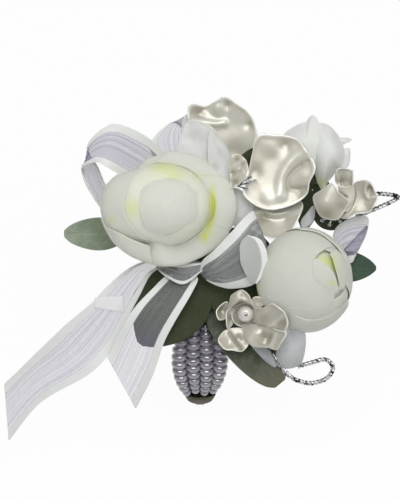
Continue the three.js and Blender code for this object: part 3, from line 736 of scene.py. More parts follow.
def through(points, ring=False):
    knots = [Vector(point) for point in points]
    count = len(knots)
    spans = count if ring else count - 1
    if not ring:
        knots = [2 * knots[0] - knots[1], *knots, 2 * knots[-1] - knots[-2]]

    def at(share):
        where = (share % 1.0 if ring else min(max(share, 0.0), 1.0)) * spans
        k = min(int(where), spans - 1)
        f = where - k
        a, b, c, d = (knots[(k + i) % len(knots)] for i in ((-1, 0, 1, 2) if ring else (0, 1, 2, 3)))
        bend = (c - a) * f + (2 * a - 5 * b + 4 * c - d) * f**2 + (3 * b - a - 3 * c + d) * f**3
        return b + 0.5 * bend

    return at

# %% Crumples and relief
SEED_STEP = Vector((1, 2.3, -1))


def crumple(point, size, depth, seed=0.0):
    return depth * noise.noise(Vector(point) / size + seed * SEED_STEP)


RELIEF_STEP = 0.01


def with_relief(place, relief):
    def raised(u, v):
        across = place(min(u + RELIEF_STEP, 1), v) - place(max(u - RELIEF_STEP, -1), v)
        along = place(u, min(v + RELIEF_STEP, 1)) - place(u, max(v - RELIEF_STEP, 0))
        return place(u, v) + across.cross(along).normalized() * relief(u, v)

    return raised

# %% Tubes along a path
def frames_along(points, count):
    curve = through(points)
    centres = [curve(k / count) for k in range(count + 1)]
    side = (centres[1] - centres[0]).orthogonal().normalized()
    frames = []
    for k, centre in enumerate(centres):
        ahead = (centres[min(k + 1, count)] - centres[max(k - 1, 0)]).normalized()
        side = (side - ahead * side.dot(ahead)).normalized()
        frames.append((centre, side, ahead.cross(side)))
    return frames


def tube(name, points, radius_at, matrix, size, material, offset_at=None):
    around, along = size
    frames = frames_along(points, along)

    def place(u, v):
        centre, side, up = frames[round(v * along)]
        if offset_at:
            sway = offset_at(v)
            centre = centre + side * sway[0] + up * sway[1]
        angle = math.pi * (u + 1)
        radius = radius_at(u, v)
        return centre + radius * (math.cos(angle) * side + math.sin(angle) * up)

    return roll(name, place, matrix, size, material)


def stops(*pairs):
    def at(share):
        for (low, one), (high, other) in zip(pairs, pairs[1:]):
            if share <= high:
                return mix(one, other, (share - low) / (high - low))
        return pairs[-1][1]

    return at


print("curve helpers ready")

# %% [markdown]
# ## Silk blooms
# A ranunculus is a ball of petals that wrap one another, each with one edge tucked under its neighbour.
# It could be sculpted, but the rims are what the eye reads, so each petal is a patch of an oval ball
# whose far edge follows a rim traced in pixels. One side of the patch grows a little and the other
# shrinks, so the edges overlap in a spiral. The inner wall gets a greener lining, which shows in the
# clefts between the petals, and soft spots of tint, each with a place and a size in pixels and a
# strength, deepen the green where it is seen.

# %% Tints painted on silk
def tinted(piece, tints):
    to_spray = SPRAY.inverted()

    def strength(point):
        local = to_spray @ point
        total = 0.0
        for across, down, wide, high, share in tints:
            spot = from_photo(across, down, 0)
            gone = ((local.x - spot.x) / wide) ** 2 + ((local.y - spot.y) / high) ** 2
            total += share * math.exp(-gone / PIXEL_MM**2)
        return total

    paint(piece, "tint", strength)
    return piece

# %% A petal that wraps a bloom
PETAL_WALL = 0.4
PETAL_GRID = (30, 22)
BUD_GRID = (36, 24)
SPIRAL = 0.2
RIM_RIPPLE = 0.1
RIPPLES = 5
CURL_FROM = 0.85
DRAWN_FROM = 0.76
DRAWN_SIDE_FROM = 0.75
SILK_CRUMPLE_SIZE = 7
SILK_CRUMPLE_DEPTH = 0.25
SEED_PER_PIXEL = 0.01


def oval_place(radii, middle, polar, around):
    out = (sin_deg(polar) * cos_deg(around), sin_deg(polar) * sin_deg(around), cos_deg(polar))
    return Vector(middle) + Vector(radii[i] * out[i] for i in range(3))


def on_oval(matrix, radii, middle, across, down):
    to_bloom = matrix.inverted() @ SPRAY
    start = to_bloom @ from_photo(across, down, 0) - Vector(middle)
    sight = to_bloom.to_3x3() @ Vector((0, 0, 1))
    start = Vector(start[i] / radii[i] for i in range(3))
    sight = Vector(sight[i] / radii[i] for i in range(3))
    nearest = -start.dot(sight) / sight.length_squared
    inside = (1 - (start + nearest * sight).length_squared) / sight.length_squared
    out = (start + (nearest + math.sqrt(max(inside, 0.0))) * sight).normalized()
    return math.degrees(math.atan2(out.y, out.x)), math.degrees(math.acos(out.z))


def wrap(matrix, radii, rim, base=152, curl=0.15, middle=(0, 0, 0), rim_radii=None, rim_middle=None):
    close_radii = rim_radii or radii
    close_middle = Vector(rim_middle or middle)
    marks = []
    for across, down in rim:
        around, polar = on_oval(matrix, close_radii, close_middle, across, down)
        if marks:
            around += 360 * round((marks[-1][0] - around) / 360)
        marks.append((around, polar, 0))
    rim_line = through(marks)
    seed = SEED_PER_PIXEL * rim[0][0]

    def place(u, v):
        around, far, _ = rim_line((u + 1) / 2)
        polar = mix(base, far, v)
        ripple = RIM_RIPPLE * math.sin(RIPPLES * u + base) * v**3
        grow = SPIRAL * u + curl * rise(v, CURL_FROM, 1) + ripple
        spot = oval_place(radii, middle, polar, around)
        grow += crumple(spot, SILK_CRUMPLE_SIZE, SILK_CRUMPLE_DEPTH, seed)
        drawn_in = max(rise(v, DRAWN_FROM, 1.0), rise(abs(u), DRAWN_SIDE_FROM, 1.0))
        reach = [mix(r, q, drawn_in) + grow for r, q in zip(radii, close_radii)]
        return oval_place(reach, Vector(middle).lerp(close_middle, drawn_in), polar, around)

    return place

# %% Petals and buds of a bloom
def bloom_petal(name, matrix, nodes=(), tints=(), faces=(petal_face, petal_lining), **form):
    piece = skin(name, wrap(matrix, **form), matrix, PETAL_GRID, PETAL_WALL, list(faces))
    return seat(tinted(piece, tints), nodes)


def bud(name, matrix, node, radii, middle=(0, 0, 0), tints=(), face=petal_face):
    def ball(u, v):
        return oval_place(radii, middle, 180 * (1 - v), 180 * (u + 1))

    return seat(tinted(roll(name, ball, matrix, BUD_GRID, face), tints), [node])

# %% [markdown]
# ## Large bloom
# The largest flower is a round heart inside an outer cup. The cup's petals swell out behind and their
# rims are drawn in to the heart, so that they read as one soft ball with a few thin lines of shadow.

# %% Large bloom: traced rims
LARGE = SPRAY @ moved((-12.6, 31.5, 27)) @ turned(-8, "X")
HEART_MIDDLE = (-3.6, 0.8, 0)
HEART_RADII = (21.0, 17.1, 17.8)
LARGE_TINTS = [
    (134.5, 209, 6, 8, 0.5), (164, 169, 12, 4, 0.55), (176, 177, 6, 4, 0.38), (113, 221, 5, 4, 0.35),
    (170, 175, 17, 8, 0.2), (197, 178, 8, 4, 0.3),
    (212.5, 206, 3.4, 18, 1.2), (208, 226, 3.4, 8, 0.8), (204, 237, 4.5, 6, 0.9),
]
HEART_LEFT_RIM = [(143, 172), (131, 190), (127, 205), (129, 218), (137, 230), (150, 240)]
HEART_RIGHT_RIM = [(199, 240), (204, 230), (208, 218), (209.5, 203), (207, 190), (199, 178), (186, 170)]
CUP_RIGHT_RIM = [
    (199, 245), (207, 238), (211, 230), (214.5, 216), (215.8, 203), (213, 192), (206, 181), (197, 173),
]
CUP_TOP_RIM = [(203, 179), (192, 171), (180, 164), (168, 161.5), (151, 163), (138, 169.5)]
CROWN_RIM = [(220, 184), (212, 173), (203, 166.5), (190, 161), (168, 158.5), (153, 161)]
CUP_LEFT_RIM = [(104, 217), (108, 226), (122, 233), (141, 242.5), (152, 246)]
CUP_LOWER_RIM = [(138, 242.5), (157, 243.5), (180, 245), (213, 244.5), (228, 237), (236, 228)]

# %% Large bloom: heart and cup
bud("large_bloom_bud", LARGE, "large_bloom_core", HEART_RADII, HEART_MIDDLE, LARGE_TINTS)
lobe = {"tints": LARGE_TINTS, "middle": HEART_MIDDLE, "rim_radii": (20.9, 17.0, 17.7)}
cup = {"tints": LARGE_TINTS, "base": 158, "curl": 0.0, "rim_middle": HEART_MIDDLE}
HEART_PETALS = {
    "heart_petal_left": (HEART_LEFT_RIM, (25.0, 18.6, 18.4), ["large_bloom_heart_petal_1"]),
    "heart_petal_right": (HEART_RIGHT_RIM, (22.6, 18.4, 18.0), []),
}
CUP_PETALS = {
    "cup_petal_crown": (CROWN_RIM, (27.5, 24.3, 20.2), (21.4, 17.5, 18.0), []),
    "cup_petal_top": (CUP_TOP_RIM, (26.0, 22.6, 19.8), (20.7, 16.8, 17.5), ["large_bloom_cup_petal_3"]),
    "cup_petal_right": (
        CUP_RIGHT_RIM, (29.0, 23.0, 20.6), (21.2, 17.2, 17.7), ["large_bloom_cup_petal_2"],
    ),
    "cup_petal_left": (CUP_LEFT_RIM, (29.0, 24.0, 20.2), (25.6, 19.2, 18.9), []),
    "cup_petal_lower": (
        CUP_LOWER_RIM, (29.5, 24.6, 20.6), (21.0, 17.1, 17.9), ["large_bloom_cup_petal_1"],
    ),
}
for name, (rim, radii, nodes) in HEART_PETALS.items():
    bloom_petal(name, LARGE, nodes, radii=radii, rim=rim, **lobe)
for name, (rim, radii, rim_radii, nodes) in CUP_PETALS.items():
    bloom_petal(name, LARGE, nodes, radii=radii, rim=rim, rim_radii=rim_radii, **cup)
print("large bloom:", len(HEART_PETALS), "heart petals and", len(CUP_PETALS), "cup petals")

# %% [markdown]
# ## Front petal
# One petal lies over the front of the heart like a cap. It is a disc inside a traced outline, laid on
# the same oval dome, and its rim is pressed down or lifted at each point of the outline.

# %% A petal that lies on a dome like a cap
RIM_DROP_POWER = 2.5


def on_disc(u, v):
    x, y = u, 2 * v - 1
    x, y = x * math.sqrt(1 - y * y / 2), y * math.sqrt(1 - x * x / 2)
    return min(math.hypot(x, y), 1.0), math.atan2(y, x) / (2 * math.pi)


def cap_petal(name, dome, radii, centre, outline, nodes=(), tints=(), face=plain_face):
    middle = SPRAY.inverted() @ dome
    ground = Vector((middle.x, middle.y, 0))
    start = from_photo(*centre) - ground
    rim = through([from_photo(*point) - ground for point in outline], ring=True)

    def place(u, v):
        reach, turn = on_disc(u, v)
        edge = rim(turn)
        spot = start.lerp(edge, reach)
        inside = max(0.0, 1 - (spot.x / radii[0]) ** 2 - (spot.y / radii[1]) ** 2)
        spot.z = radii[2] * math.sqrt(inside) + mix(start.z, edge.z, reach**RIM_DROP_POWER)
        return spot

    piece = skin(name, place, SPRAY @ moved(middle), PETAL_GRID, PETAL_WALL, [face])
    return seat(tinted(piece, tints), nodes)


FRONT_PETAL = [
    (203, 206, -0.6), (203, 191, -0.6), (189, 178, -0.55), (170, 174, -0.5), (153, 178, -0.5),
    (144, 190, -0.2), (141, 206, 0.5), (144, 224, -0.1), (155, 234, -0.5), (172, 235, -0.4),
    (190, 225, -0.4), (201, 217, -0.6),
]
FRONT_TINTS = [*LARGE_TINTS, (182, 229, 16, 4, 0.12)]
cap_petal(
    "heart_petal_front", LARGE @ Vector(HEART_MIDDLE), HEART_RADII, (162, 206, 0.3), FRONT_PETAL,
    ["large_bloom_heart_petal_2"], FRONT_TINTS,
)
print("front petal laid")

# %% [markdown]
# ## Medium bloom
# The second ranunculus opens to the right in a swirl: petals wound round a bud, a lip over their middle
# and a narrow band beside it. It is in the shade of the others, so its silk is painted a little darker,
# a painted shade.

# %% Medium bloom: wrapped petals
MEDIUM = SPRAY @ moved((43.0, 1.5, 22)) @ turned(-12, "X") @ turned(35, "Y")
SWIRL_TINTS = [(322, 260, 8, 4, 0.75), (330, 267, 4, 7, 0.6), (329, 282, 5, 3, 0.5)]
SWIRL_LEFT_RIM = [(331, 247), (322, 250), (314, 256), (311, 266), (315, 277), (323, 285), (331, 291)]
SWIRL_RIGHT_RIM = [(322, 294), (332, 289), (337, 279), (337, 266), (331, 256), (320, 251)]
SWIRL_LOWER_RIM = [(289, 305), (303, 306), (318, 304), (331, 297), (341, 288)]
ROUND_RIGHT_RIM = [(343, 285), (344, 272), (341, 258), (334, 247), (325, 239), (313, 233), (300, 231)]
ROUND_LOWER_RIM = [(294, 314), (305, 317), (320, 316), (334, 308), (345, 297)]
swirl = {"base": 155, "tints": SWIRL_TINTS, "curl": 0.04, "faces": (shade_face, shade_lining)}
bud(
    "medium_bloom_bud", MEDIUM, "medium_bloom_core", (18.8, 19.6, 17.2), tints=SWIRL_TINTS,
    face=shade_face,
)
SWIRL_PETALS = {
    "swirl_petal_right": (SWIRL_RIGHT_RIM, (19.5, 20.3, 17.9), []),
    "swirl_petal_left": (SWIRL_LEFT_RIM, (20.3, 21.1, 18.6), ["medium_bloom_petal_1"]),
    "swirl_petal_lower": (SWIRL_LOWER_RIM, (20.45, 21.25, 18.75), []),
    "round_petal_right": (ROUND_RIGHT_RIM, (20.75, 21.55, 19.05), ["medium_bloom_petal_3"]),
    "round_petal_lower": (ROUND_LOWER_RIM, (20.95, 21.75, 19.15), ["medium_bloom_petal_2"]),
}
for name, (rim, radii, nodes) in SWIRL_PETALS.items():
    bloom_petal(name, MEDIUM, nodes, radii=radii, rim=rim, **swirl)
print("medium bloom:", len(SWIRL_PETALS), "petals")

# %% Medium bloom: lip and band of the swirl
SWIRL_LIP = [
    (333.5, 281, 0.3), (331.2, 274.7, 0.5), (328.5, 270, 0.5), (324.3, 265.5, 0.5), (319, 261.5, 0.5),
    (313.4, 258, 0.3), (307, 262, -1), (304, 272, -1.2), (308, 283, -1.2), (318, 290, -1),
    (329, 293, -0.8), (335, 289, -0.2),
]
SWIRL_BAND = [
    (344.5, 268, -1.2), (341, 258, -1), (334, 250, -0.8), (327, 253, 0), (329.5, 259, 0.3),
    (331.8, 268, 0.4), (334, 276, 0.4), (335.5, 283, 0.3), (336, 289, 0), (341, 286, -0.8),
    (344, 278, -1.2),
]
SWIRL_DOME = (20.0, 20.9, 19.0)
LIP_TINTS = [(329, 282, 4, 2.5, 0.5)]
cap_petal(
    "swirl_band", MEDIUM.translation, SWIRL_DOME, (338.5, 270, 0.1), SWIRL_BAND, tints=SWIRL_TINTS,
    face=shade_plain,
)
cap_petal(
    "swirl_lip", MEDIUM.translation, SWIRL_DOME, (319, 276, 0.2), SWIRL_LIP, tints=LIP_TINTS,
    face=shade_plain,
)
print("swirl laid")

# %% [markdown]
# ## Rosebud
# The third bloom is a closed bud that leans back at the right. Its ball is rolled here, as the other
# buds are. Its petals follow after the lacquered flower, because they are traced in the same way.

# %% Rosebud: the ball inside its petals
ROSEBUD = SPRAY @ moved((48.9, 54, 8)) @ turned(-64, "X") @ turned(8, "Z")
bud("rosebud_heart", ROSEBUD, "rosebud_core", (10.2, 9.6, 12.4), tints=[(320, 188, 8, 10, 0.5)])

# %% [markdown]
# ## Lacquered petals
# The pearl flowers have stiff, crumpled petals with a thick rolled rim. Each is traced as a short
# outline in the photograph's pixels, with the height of the rim at every point. The grid becomes a disc
# inside that outline, dished in the middle, and a few soft bumps and dents give the folds that catch
# the light.

# %% Dents and ridges
RIDGE_STEPS = 24


def dent(across, down, size, depth):
    spot = from_photo(across, down, 0)

    def at(point):
        gone = (point.x - spot.x) ** 2 + (point.y - spot.y) ** 2
        return depth * math.exp(-gone / (size * PIXEL_MM) ** 2)

    return at


def ridge(path, size, height):
    line = through([from_photo(across, down, 0) for across, down in path])
    spots = [line(k / RIDGE_STEPS) for k in range(RIDGE_STEPS + 1)]

    def at(point):
        gone = min((point.x - spot.x) ** 2 + (point.y - spot.y) ** 2 for spot in spots)
        return height * math.exp(-gone / (size * PIXEL_MM) ** 2)

    return at

# %% A petal pulled to an outline
LACQUER_WALL = 0.6
DISC_GRID = (30, 30)
DISC_RISE_POWER = 2.2
LIP_FROM = 0.86
CRINKLE_SIZE = 5.0
CRINKLE_ENDS = (0.1, 0.6)
HOLLOW_SHADE_SHARE = 0.5


def disc(outline, middle, dish, forms=(), crinkle=0.25, lip=0.4, seed=0.0):
    rim = through([from_photo(*point) for point in outline], ring=True)
    centre = from_photo(*middle)

    def place(u, v):
        reach, turn = on_disc(u, v)
        edge = rim(turn)
        point = centre.lerp(edge, reach)
        point.z = mix(centre.z, edge.z, reach**DISC_RISE_POWER) - dish * (1 - reach**2)
        point.z += lip * rise(reach, LIP_FROM, 1.0) + sum(form(point) for form in forms)
        flat_point = (point.x, point.y, 0)
        point.z += crumple(flat_point, CRINKLE_SIZE, crinkle, seed) * rise(reach, *CRINKLE_ENDS)
        return point

    return place


def disc_petal(name, slot, materials, wall, nodes=(), forms=(), tone=0.0, tints=(), **outline):
    piece = skin(name, disc(forms=forms, **outline), SPRAY, DISC_GRID, wall, materials)
    to_spray = SPRAY.inverted()

    # Painted shade: darker in the dents, and darker over the whole petal by its tone
    def hollow(point):
        return max(0.0, tone - HOLLOW_SHADE_SHARE * sum(form(to_spray @ point) for form in forms))

    paint(piece, "hollow", hollow)
    return seat(tinted(piece, tints), nodes)

# %% [markdown]
# ## Large pearl flower
# The main lacquered flower has three petals and a crumpled throat between them. Its folds are ridges
# along short lines, and each pocket beside a fold is a dent.

# %% Large pearl flower: outlines
RIGHT_PETAL = [
    (314, 168, 23), (303, 149, 22), (292, 139, 21), (274, 136, 21), (257, 137, 21), (251, 156, 20),
    (245, 184, 20), (242, 195, 20), (254, 206, 21), (270, 211, 21.5), (291, 206, 21.5),
    (305, 196, 21.5), (308, 184, 22),
]
TOP_PETAL = [
    (257, 136, 13), (251, 118, 13), (238, 106, 14), (225, 98, 14), (216, 102, 13), (206, 107, 11),
    (190, 106, 14), (188, 122, 12), (196, 145, 10), (218, 165, 9), (240, 170, 9), (250, 155, 11),
]
LOWER_PETAL = [
    (302, 206, 17), (290, 196, 14), (270, 194, 13), (255, 204, 14), (252, 216, 17), (257, 229, 19),
    (268, 238, 20), (280, 239, 20), (290, 232, 19),
]
THROAT = [
    (248, 174, 23), (246, 163, 22), (239, 156, 21), (232, 157, 21), (229, 168, 22), (230, 182, 22),
    (230, 190, 22), (238, 186, 22), (244, 181, 23),
]
RIGHT_FOLD_LINE = [(302, 153), (290, 163), (281, 178), (279, 196)]
RIGHT_POCKET_LINE = [(310, 160), (295, 169), (287, 178), (286, 186), (289, 190), (304, 189)]
TOP_FOLD_LINE = [(186, 119), (197, 122), (212, 125), (224, 124)]
LOWER_FOLD_LINE = [(254, 213), (263, 211), (275, 215), (301, 209)]

# %% Large pearl flower: petals and throat
lacquer = {"slot": "pearl_lacquer", "materials": [pearl_lacquer], "wall": LACQUER_WALL}
disc_petal(
    "pearl_petal_right", nodes=["pearl_flower_right_petal"], **lacquer, outline=RIGHT_PETAL,
    middle=(276, 176, 22), dish=1.4, seed=0.4, tone=0.32,
    forms=[
        ridge(RIGHT_FOLD_LINE, 5, 1.2), ridge(RIGHT_POCKET_LINE, 2.4, -0.9), dent(303, 176, 6, 0.5),
        dent(284, 146, 6, -0.9), dent(298, 194, 4, -0.8), dent(255, 173, 7, -0.8),
        dent(268, 160, 9, -0.5), dent(270, 200, 9, 0.9),
    ],
)
disc_petal(
    "pearl_petal_top", nodes=["pearl_flower_top_petal"], **lacquer, outline=TOP_PETAL,
    middle=(224, 132, 12), dish=1.4, seed=1.7,
    forms=[
        ridge(TOP_FOLD_LINE, 3.2, 1.4), dent(199, 113, 8, -2.0), dent(217, 110, 6, 1.5),
        dent(227, 106, 4, -1.2), dent(249, 126, 5, -1.1), dent(235, 150, 10, -0.8),
    ],
)
disc_petal(
    "pearl_petal_lower", nodes=["pearl_flower_lower_petal"], **lacquer, outline=LOWER_PETAL,
    middle=(274, 215, 17), dish=2.0, seed=2.9,
    forms=[
        ridge(LOWER_FOLD_LINE, 3, 1.2), dent(262, 219, 6, -1.2), dent(285, 216, 9, -0.7),
        dent(268, 231, 6, 0.9),
    ],
)
disc_petal(
    "pearl_throat", nodes=["pearl_flower_throat"], **lacquer, outline=THROAT, middle=(238, 170, 23),
    dish=-1.0, crinkle=1.4, seed=3.3,
    forms=[
        dent(236, 160, 3, -1.6), dent(238, 170, 3, 2.0), dent(243, 166, 3, -1.4),
        dent(233, 174, 3, -1.4), dent(234, 184, 4, -1.6),
    ],
)
print("large pearl flower made")

# %% [markdown]
# ## Flared silk petals
# Behind the large bloom, three loose white petals flare out beside the lacquered flower. They are thin
# silk, so they get a thinner wall and a softer crumple than the lacquer.

# %% Flared silk petals
FLARED_LEFT = [
    (222, 148, 13), (216, 134, 14), (209, 126, 14), (196, 121, 14), (187, 123, 13), (181, 136, 12),
    (179, 152, 11), (186, 168, 10), (205, 176, 11), (219, 166, 12),
]
FLARED_RIGHT = [
    (231, 164, 18), (227, 150, 18), (219, 138, 18), (212, 129, 18), (208, 140, 16), (208, 158, 15),
    (212, 178, 16), (219, 192, 17), (228, 191, 18), (231, 178, 18),
]
FLARED_SIDE = [
    (257, 207, 15), (247, 197, 16), (237, 189, 17), (228, 192, 16), (227, 205, 15), (229, 222, 14),
    (241, 228, 13), (252, 216, 14),
]
flared = {"slot": "silk", "materials": [flared_face], "wall": PETAL_WALL, "lip": 0.3, "crinkle": 0.3}
disc_petal(
    "flared_petal_left", nodes=["large_bloom_flared_petal_1"], **flared, outline=FLARED_LEFT,
    middle=(201, 150, 14), dish=1.2, forms=[dent(209, 150, 5, 0.9), dent(190, 140, 6, -0.8)], seed=4.2,
)
disc_petal(
    "flared_petal_right", nodes=["large_bloom_flared_petal_2"], **flared, outline=FLARED_RIGHT,
    middle=(220, 163, 17), dish=1.0, forms=[dent(214, 170, 4, -1.8), dent(222, 150, 5, 0.8)], seed=5.1,
)
disc_petal(
    "flared_petal_side", **flared, outline=FLARED_SIDE, middle=(241, 206, 15.5), dish=0.6, seed=5.7,
)
print("flared petals made")

# %% [markdown]
# ## Rosebud petals
# The bud is closed by two petals in front and one behind, with a green tint where they meet the stem.
# At its right, three frayed tips of the white silk show.

# %% Rosebud petals: outlines
ROSE_LEFT = [
    (318, 136, 17), (317, 122, 12), (312, 116.5, 10), (308, 119, 10), (305, 123, 11), (296, 126, 10),
    (283, 136, 9), (288, 148, 11), (298, 160, 13), (309, 174, 13), (315, 168, 16), (317, 150, 18),
]
ROSE_RIGHT = [
    (344, 158, 11), (342, 147, 11), (336, 137, 11), (331, 129, 11), (323, 124.5, 12), (317, 126, 13),
    (315, 140, 16.6), (314, 155, 17.6), (314, 175, 14.4), (318, 186, 11), (322, 190, 9), (329, 179, 10),
    (334, 172, 11), (341, 169, 11),
]
ROSE_BACK = [
    (343, 150, 6), (335, 132, 5), (318, 123, 5), (300, 127, 5), (286, 138, 6), (291, 157, 7),
    (305, 174, 7), (322, 185, 7), (338, 168, 7),
]
FRAYED_TIPS = {
    "frayed_tip_upper": (
        [(351, 140, 9), (341, 138.5, 10), (331, 139, 11), (333, 147, 12), (343, 145, 10)],
        (339, 142, 11),
    ),
    "frayed_tip_middle": (
        [(349, 151, 10), (344, 149, 11), (338, 154, 13), (340, 167, 13), (347, 167, 11)],
        (344, 158, 12.5),
    ),
    "frayed_tip_lower": (
        [(352, 171, 14), (348, 173, 15), (345, 178, 16), (349, 178, 15)], (348, 175, 15.5),
    ),
}

# %% Rosebud petals and frayed tips
ROSE_TINTS = [(320, 186, 7, 9, 0.45)]
rose = {"slot": "silk", "materials": [rose_face], "wall": PETAL_WALL, "lip": 0.2, "crinkle": 0.25}
disc_petal(
    "rose_petal_back", nodes=["rosebud_petal_3"], **rose, outline=ROSE_BACK, middle=(315, 150, -2),
    dish=0.4,
)
disc_petal(
    "rose_petal_left", nodes=["rosebud_petal_1"], **rose, outline=ROSE_LEFT, middle=(305, 145, 18.4),
    dish=-0.6, tints=ROSE_TINTS, seed=1.3,
)
disc_petal(
    "rose_petal_right", nodes=["rosebud_petal_2"], **rose, outline=ROSE_RIGHT, middle=(327, 152, 19.8),
    dish=-0.8, tints=ROSE_TINTS, seed=2.1,
)
for name, (outline, middle) in FRAYED_TIPS.items():
    disc_petal(name, **flared, outline=outline, middle=middle, dish=0.2)
print("rosebud closed")

# %% [markdown]
# ## Right small pearl flower
# At the right corner a small lacquered flower has a flat front petal, a cup at its right, a white fold
# between them and one more petal above.

# %% Right small pearl flower: outlines
FRONT_FACE = [
    (347, 202, 22), (341, 197, 22.5), (337, 194, 23), (333, 187, 22.5), (329, 184, 22),
    (319, 191, 20.5), (312, 196, 19), (312, 203, 19), (318, 216, 19.5), (326, 220, 20),
    (336, 220, 20.5), (343, 211, 21.5),
]
RIGHT_CUP = [
    (375, 199, 22), (372, 191, 22.5), (369, 185, 22.5), (364, 181, 22), (352, 184, 19), (350, 199, 18),
    (339, 217, 18), (345, 219, 19), (353, 215, 20), (366, 213, 21), (371, 207, 22),
]
WHITE_FOLD = [
    (352, 193, 21), (350, 187, 21), (343, 188, 21), (336, 187, 20.5), (338, 194, 20), (345, 199, 20),
    (348, 204, 20.5), (342, 212, 20), (347, 211, 20.5), (351, 202, 21),
]
UPPER_FACE = [
    (351, 180, 20), (350, 172, 21), (342, 169, 21), (335, 171, 21), (333, 180, 19), (337, 188, 18),
    (344, 190, 18), (350, 188, 18),
]

# %% Right small pearl flower: petals
CORNER_TONE = 0.36
corner = {**lacquer, "lip": 0.3, "tone": CORNER_TONE}
disc_petal(
    "corner_petal_front", nodes=["right_pearl_flower"], **corner, outline=FRONT_FACE,
    middle=(330, 204, 22), dish=-0.4,
    forms=[ridge([(328, 188), (322, 204)], 6, 0.5), dent(339, 208, 6, -0.8), dent(324, 216, 8, -1.0)],
    crinkle=0.12, seed=6.1,
)
disc_petal(
    "corner_petal_right", **corner, outline=RIGHT_CUP, middle=(358, 200, 19.5), dish=0.5, crinkle=0.12,
    forms=[
        ridge([(364, 184), (363, 193), (366, 199), (371, 198)], 1.8, 1.1), dent(368, 189, 3.5, -1.4),
    ],
    seed=6.7,
)
disc_petal(
    "corner_fold_white", **corner, outline=WHITE_FOLD, middle=(346, 195, 21), dish=0.2, crinkle=0.1,
    seed=7.3,
)
disc_petal(
    "corner_petal_upper", **corner, outline=UPPER_FACE, middle=(342, 179, 19.5), dish=1.0, crinkle=0.12,
    forms=[ridge([(335, 174), (338, 187)], 2, 0.9), dent(346, 175, 4, 0.9), dent(339, 183, 4, -1.2)],
    seed=7.9,
)
print("right pearl flower made")

# %% [markdown]
# ## Lower small pearl flower
# The lower flower is a ring of narrow folded petals round a pearl. It faces down, so it is painted darker
# than the others, a painted shade.

# %% Lower small pearl flower: outlines
CURL_TOP = [
    (252, 304, 26), (250, 298, 27), (247, 293, 27), (241, 289, 26), (234, 292, 25), (230, 296, 23.5),
    (229, 307, 22), (234, 304, 23), (240, 301, 24), (247, 302, 25),
]
CURL_RIGHT = [
    (263, 301, 28), (258, 296, 28), (252, 297, 27), (251, 303, 26), (255, 308, 26), (260, 306, 27),
]
RIGHT_FOLD = [
    (286, 322, 36.5), (283, 312, 38), (277, 306, 38), (270, 302, 36), (262, 306, 30), (252, 309, 24),
    (250, 319, 21), (256, 326, 22), (267, 327, 26), (281, 330, 31),
]
FRONT_FOLD = [
    (285, 331, 34), (276, 328, 31), (266, 325, 27), (252, 323, 23), (242, 324, 20.5), (244, 332, 21),
    (247, 340, 22), (253, 345, 23.5), (266, 346, 25.5), (275, 348, 27), (279, 342, 29),
]
LEFT_FOLD = [
    (248, 343, 20), (245, 334, 20), (241, 327, 19.5), (227, 328, 19), (219, 335, 19), (218, 341, 19),
    (224, 348, 20), (232, 349, 20.5), (241, 350, 20.5),
]
SIDE_FOLD = [
    (235, 316, 19), (234, 309, 20), (231, 307, 21), (226, 311, 21), (226, 321, 21), (228, 328, 20),
    (233, 322, 19),
]
FAR_FOLD = [
    (229, 308, 18), (227, 301, 19), (221, 304, 19), (216, 311, 19), (219, 319, 19), (226, 317, 18),
]
INNER_FOLD = [
    (258, 312, 20), (252, 304, 20), (243, 302, 20), (234, 306, 20), (231, 314, 20), (234, 322, 20),
    (243, 326, 20), (253, 322, 20),
]

# %% Lower small pearl flower: petals
# Painted shade over the whole lower flower, which faces down
LOWER_PAINTED_SHADE = 0.42
LOWER_FLOWER = {
    "fold_petal_inner": dict(
        outline=INNER_FOLD, middle=(244, 314, 18.5), dish=0.4, forms=[dent(250, 318, 4, 1.2)], seed=7.7,
    ),
    "curl_petal_top": dict(
        outline=CURL_TOP, middle=(240, 297, 26), dish=-0.6, forms=[dent(243, 293, 4, -0.8)], seed=8.1,
    ),
    "curl_petal_right": dict(outline=CURL_RIGHT, middle=(257, 302, 27.5), dish=0.7, seed=8.6),
    "fold_petal_right": dict(
        outline=RIGHT_FOLD, middle=(267, 315, 31.5), dish=0.2, seed=9.2,
        forms=[
            ridge([(267, 326), (274, 321), (281, 314)], 2.2, 0.9), dent(280, 321, 5, -1.2),
            dent(262, 318, 5, -1.0),
        ],
    ),
    "fold_petal_front": dict(
        outline=FRONT_FOLD, middle=(262, 335, 26), dish=-0.3, seed=9.8,
        forms=[
            dent(265, 336, 6, -1.6), ridge([(274, 333), (270, 343)], 2.4, 1.2), dent(250, 335, 5, 0.8),
        ],
    ),
    "fold_petal_left": dict(
        outline=LEFT_FOLD, middle=(232, 338, 20.5), dish=0.2, seed=10.3,
        forms=[
            ridge([(229, 332), (234, 339), (241, 348)], 1.6, -1.2), dent(238, 337, 4, -0.8),
            dent(229, 342, 4, 0.9),
        ],
    ),
    "fold_petal_side": dict(
        outline=SIDE_FOLD, middle=(231, 317, 20), dish=0.6, forms=[dent(232, 317, 4, -0.8)], seed=10.9,
    ),
    "fold_petal_far": dict(
        outline=FAR_FOLD, middle=(222, 310, 18.5), dish=0.5, forms=[dent(222, 310, 7, -1.6)], seed=11.4,
    ),
}
lower = {**lacquer, "lip": 0.3, "tone": LOWER_PAINTED_SHADE}
for name, form in LOWER_FLOWER.items():
    nodes = ["lower_pearl_flower"] if name == "fold_petal_front" else []
    disc_petal(name, nodes=nodes, **lower, **form)

# %% [markdown]
# ## Satin petal and satin strips
# A grey satin petal hangs beside the lower flower, and two strips of the same satin show between the
# petals. They are smooth, so they have no lip.

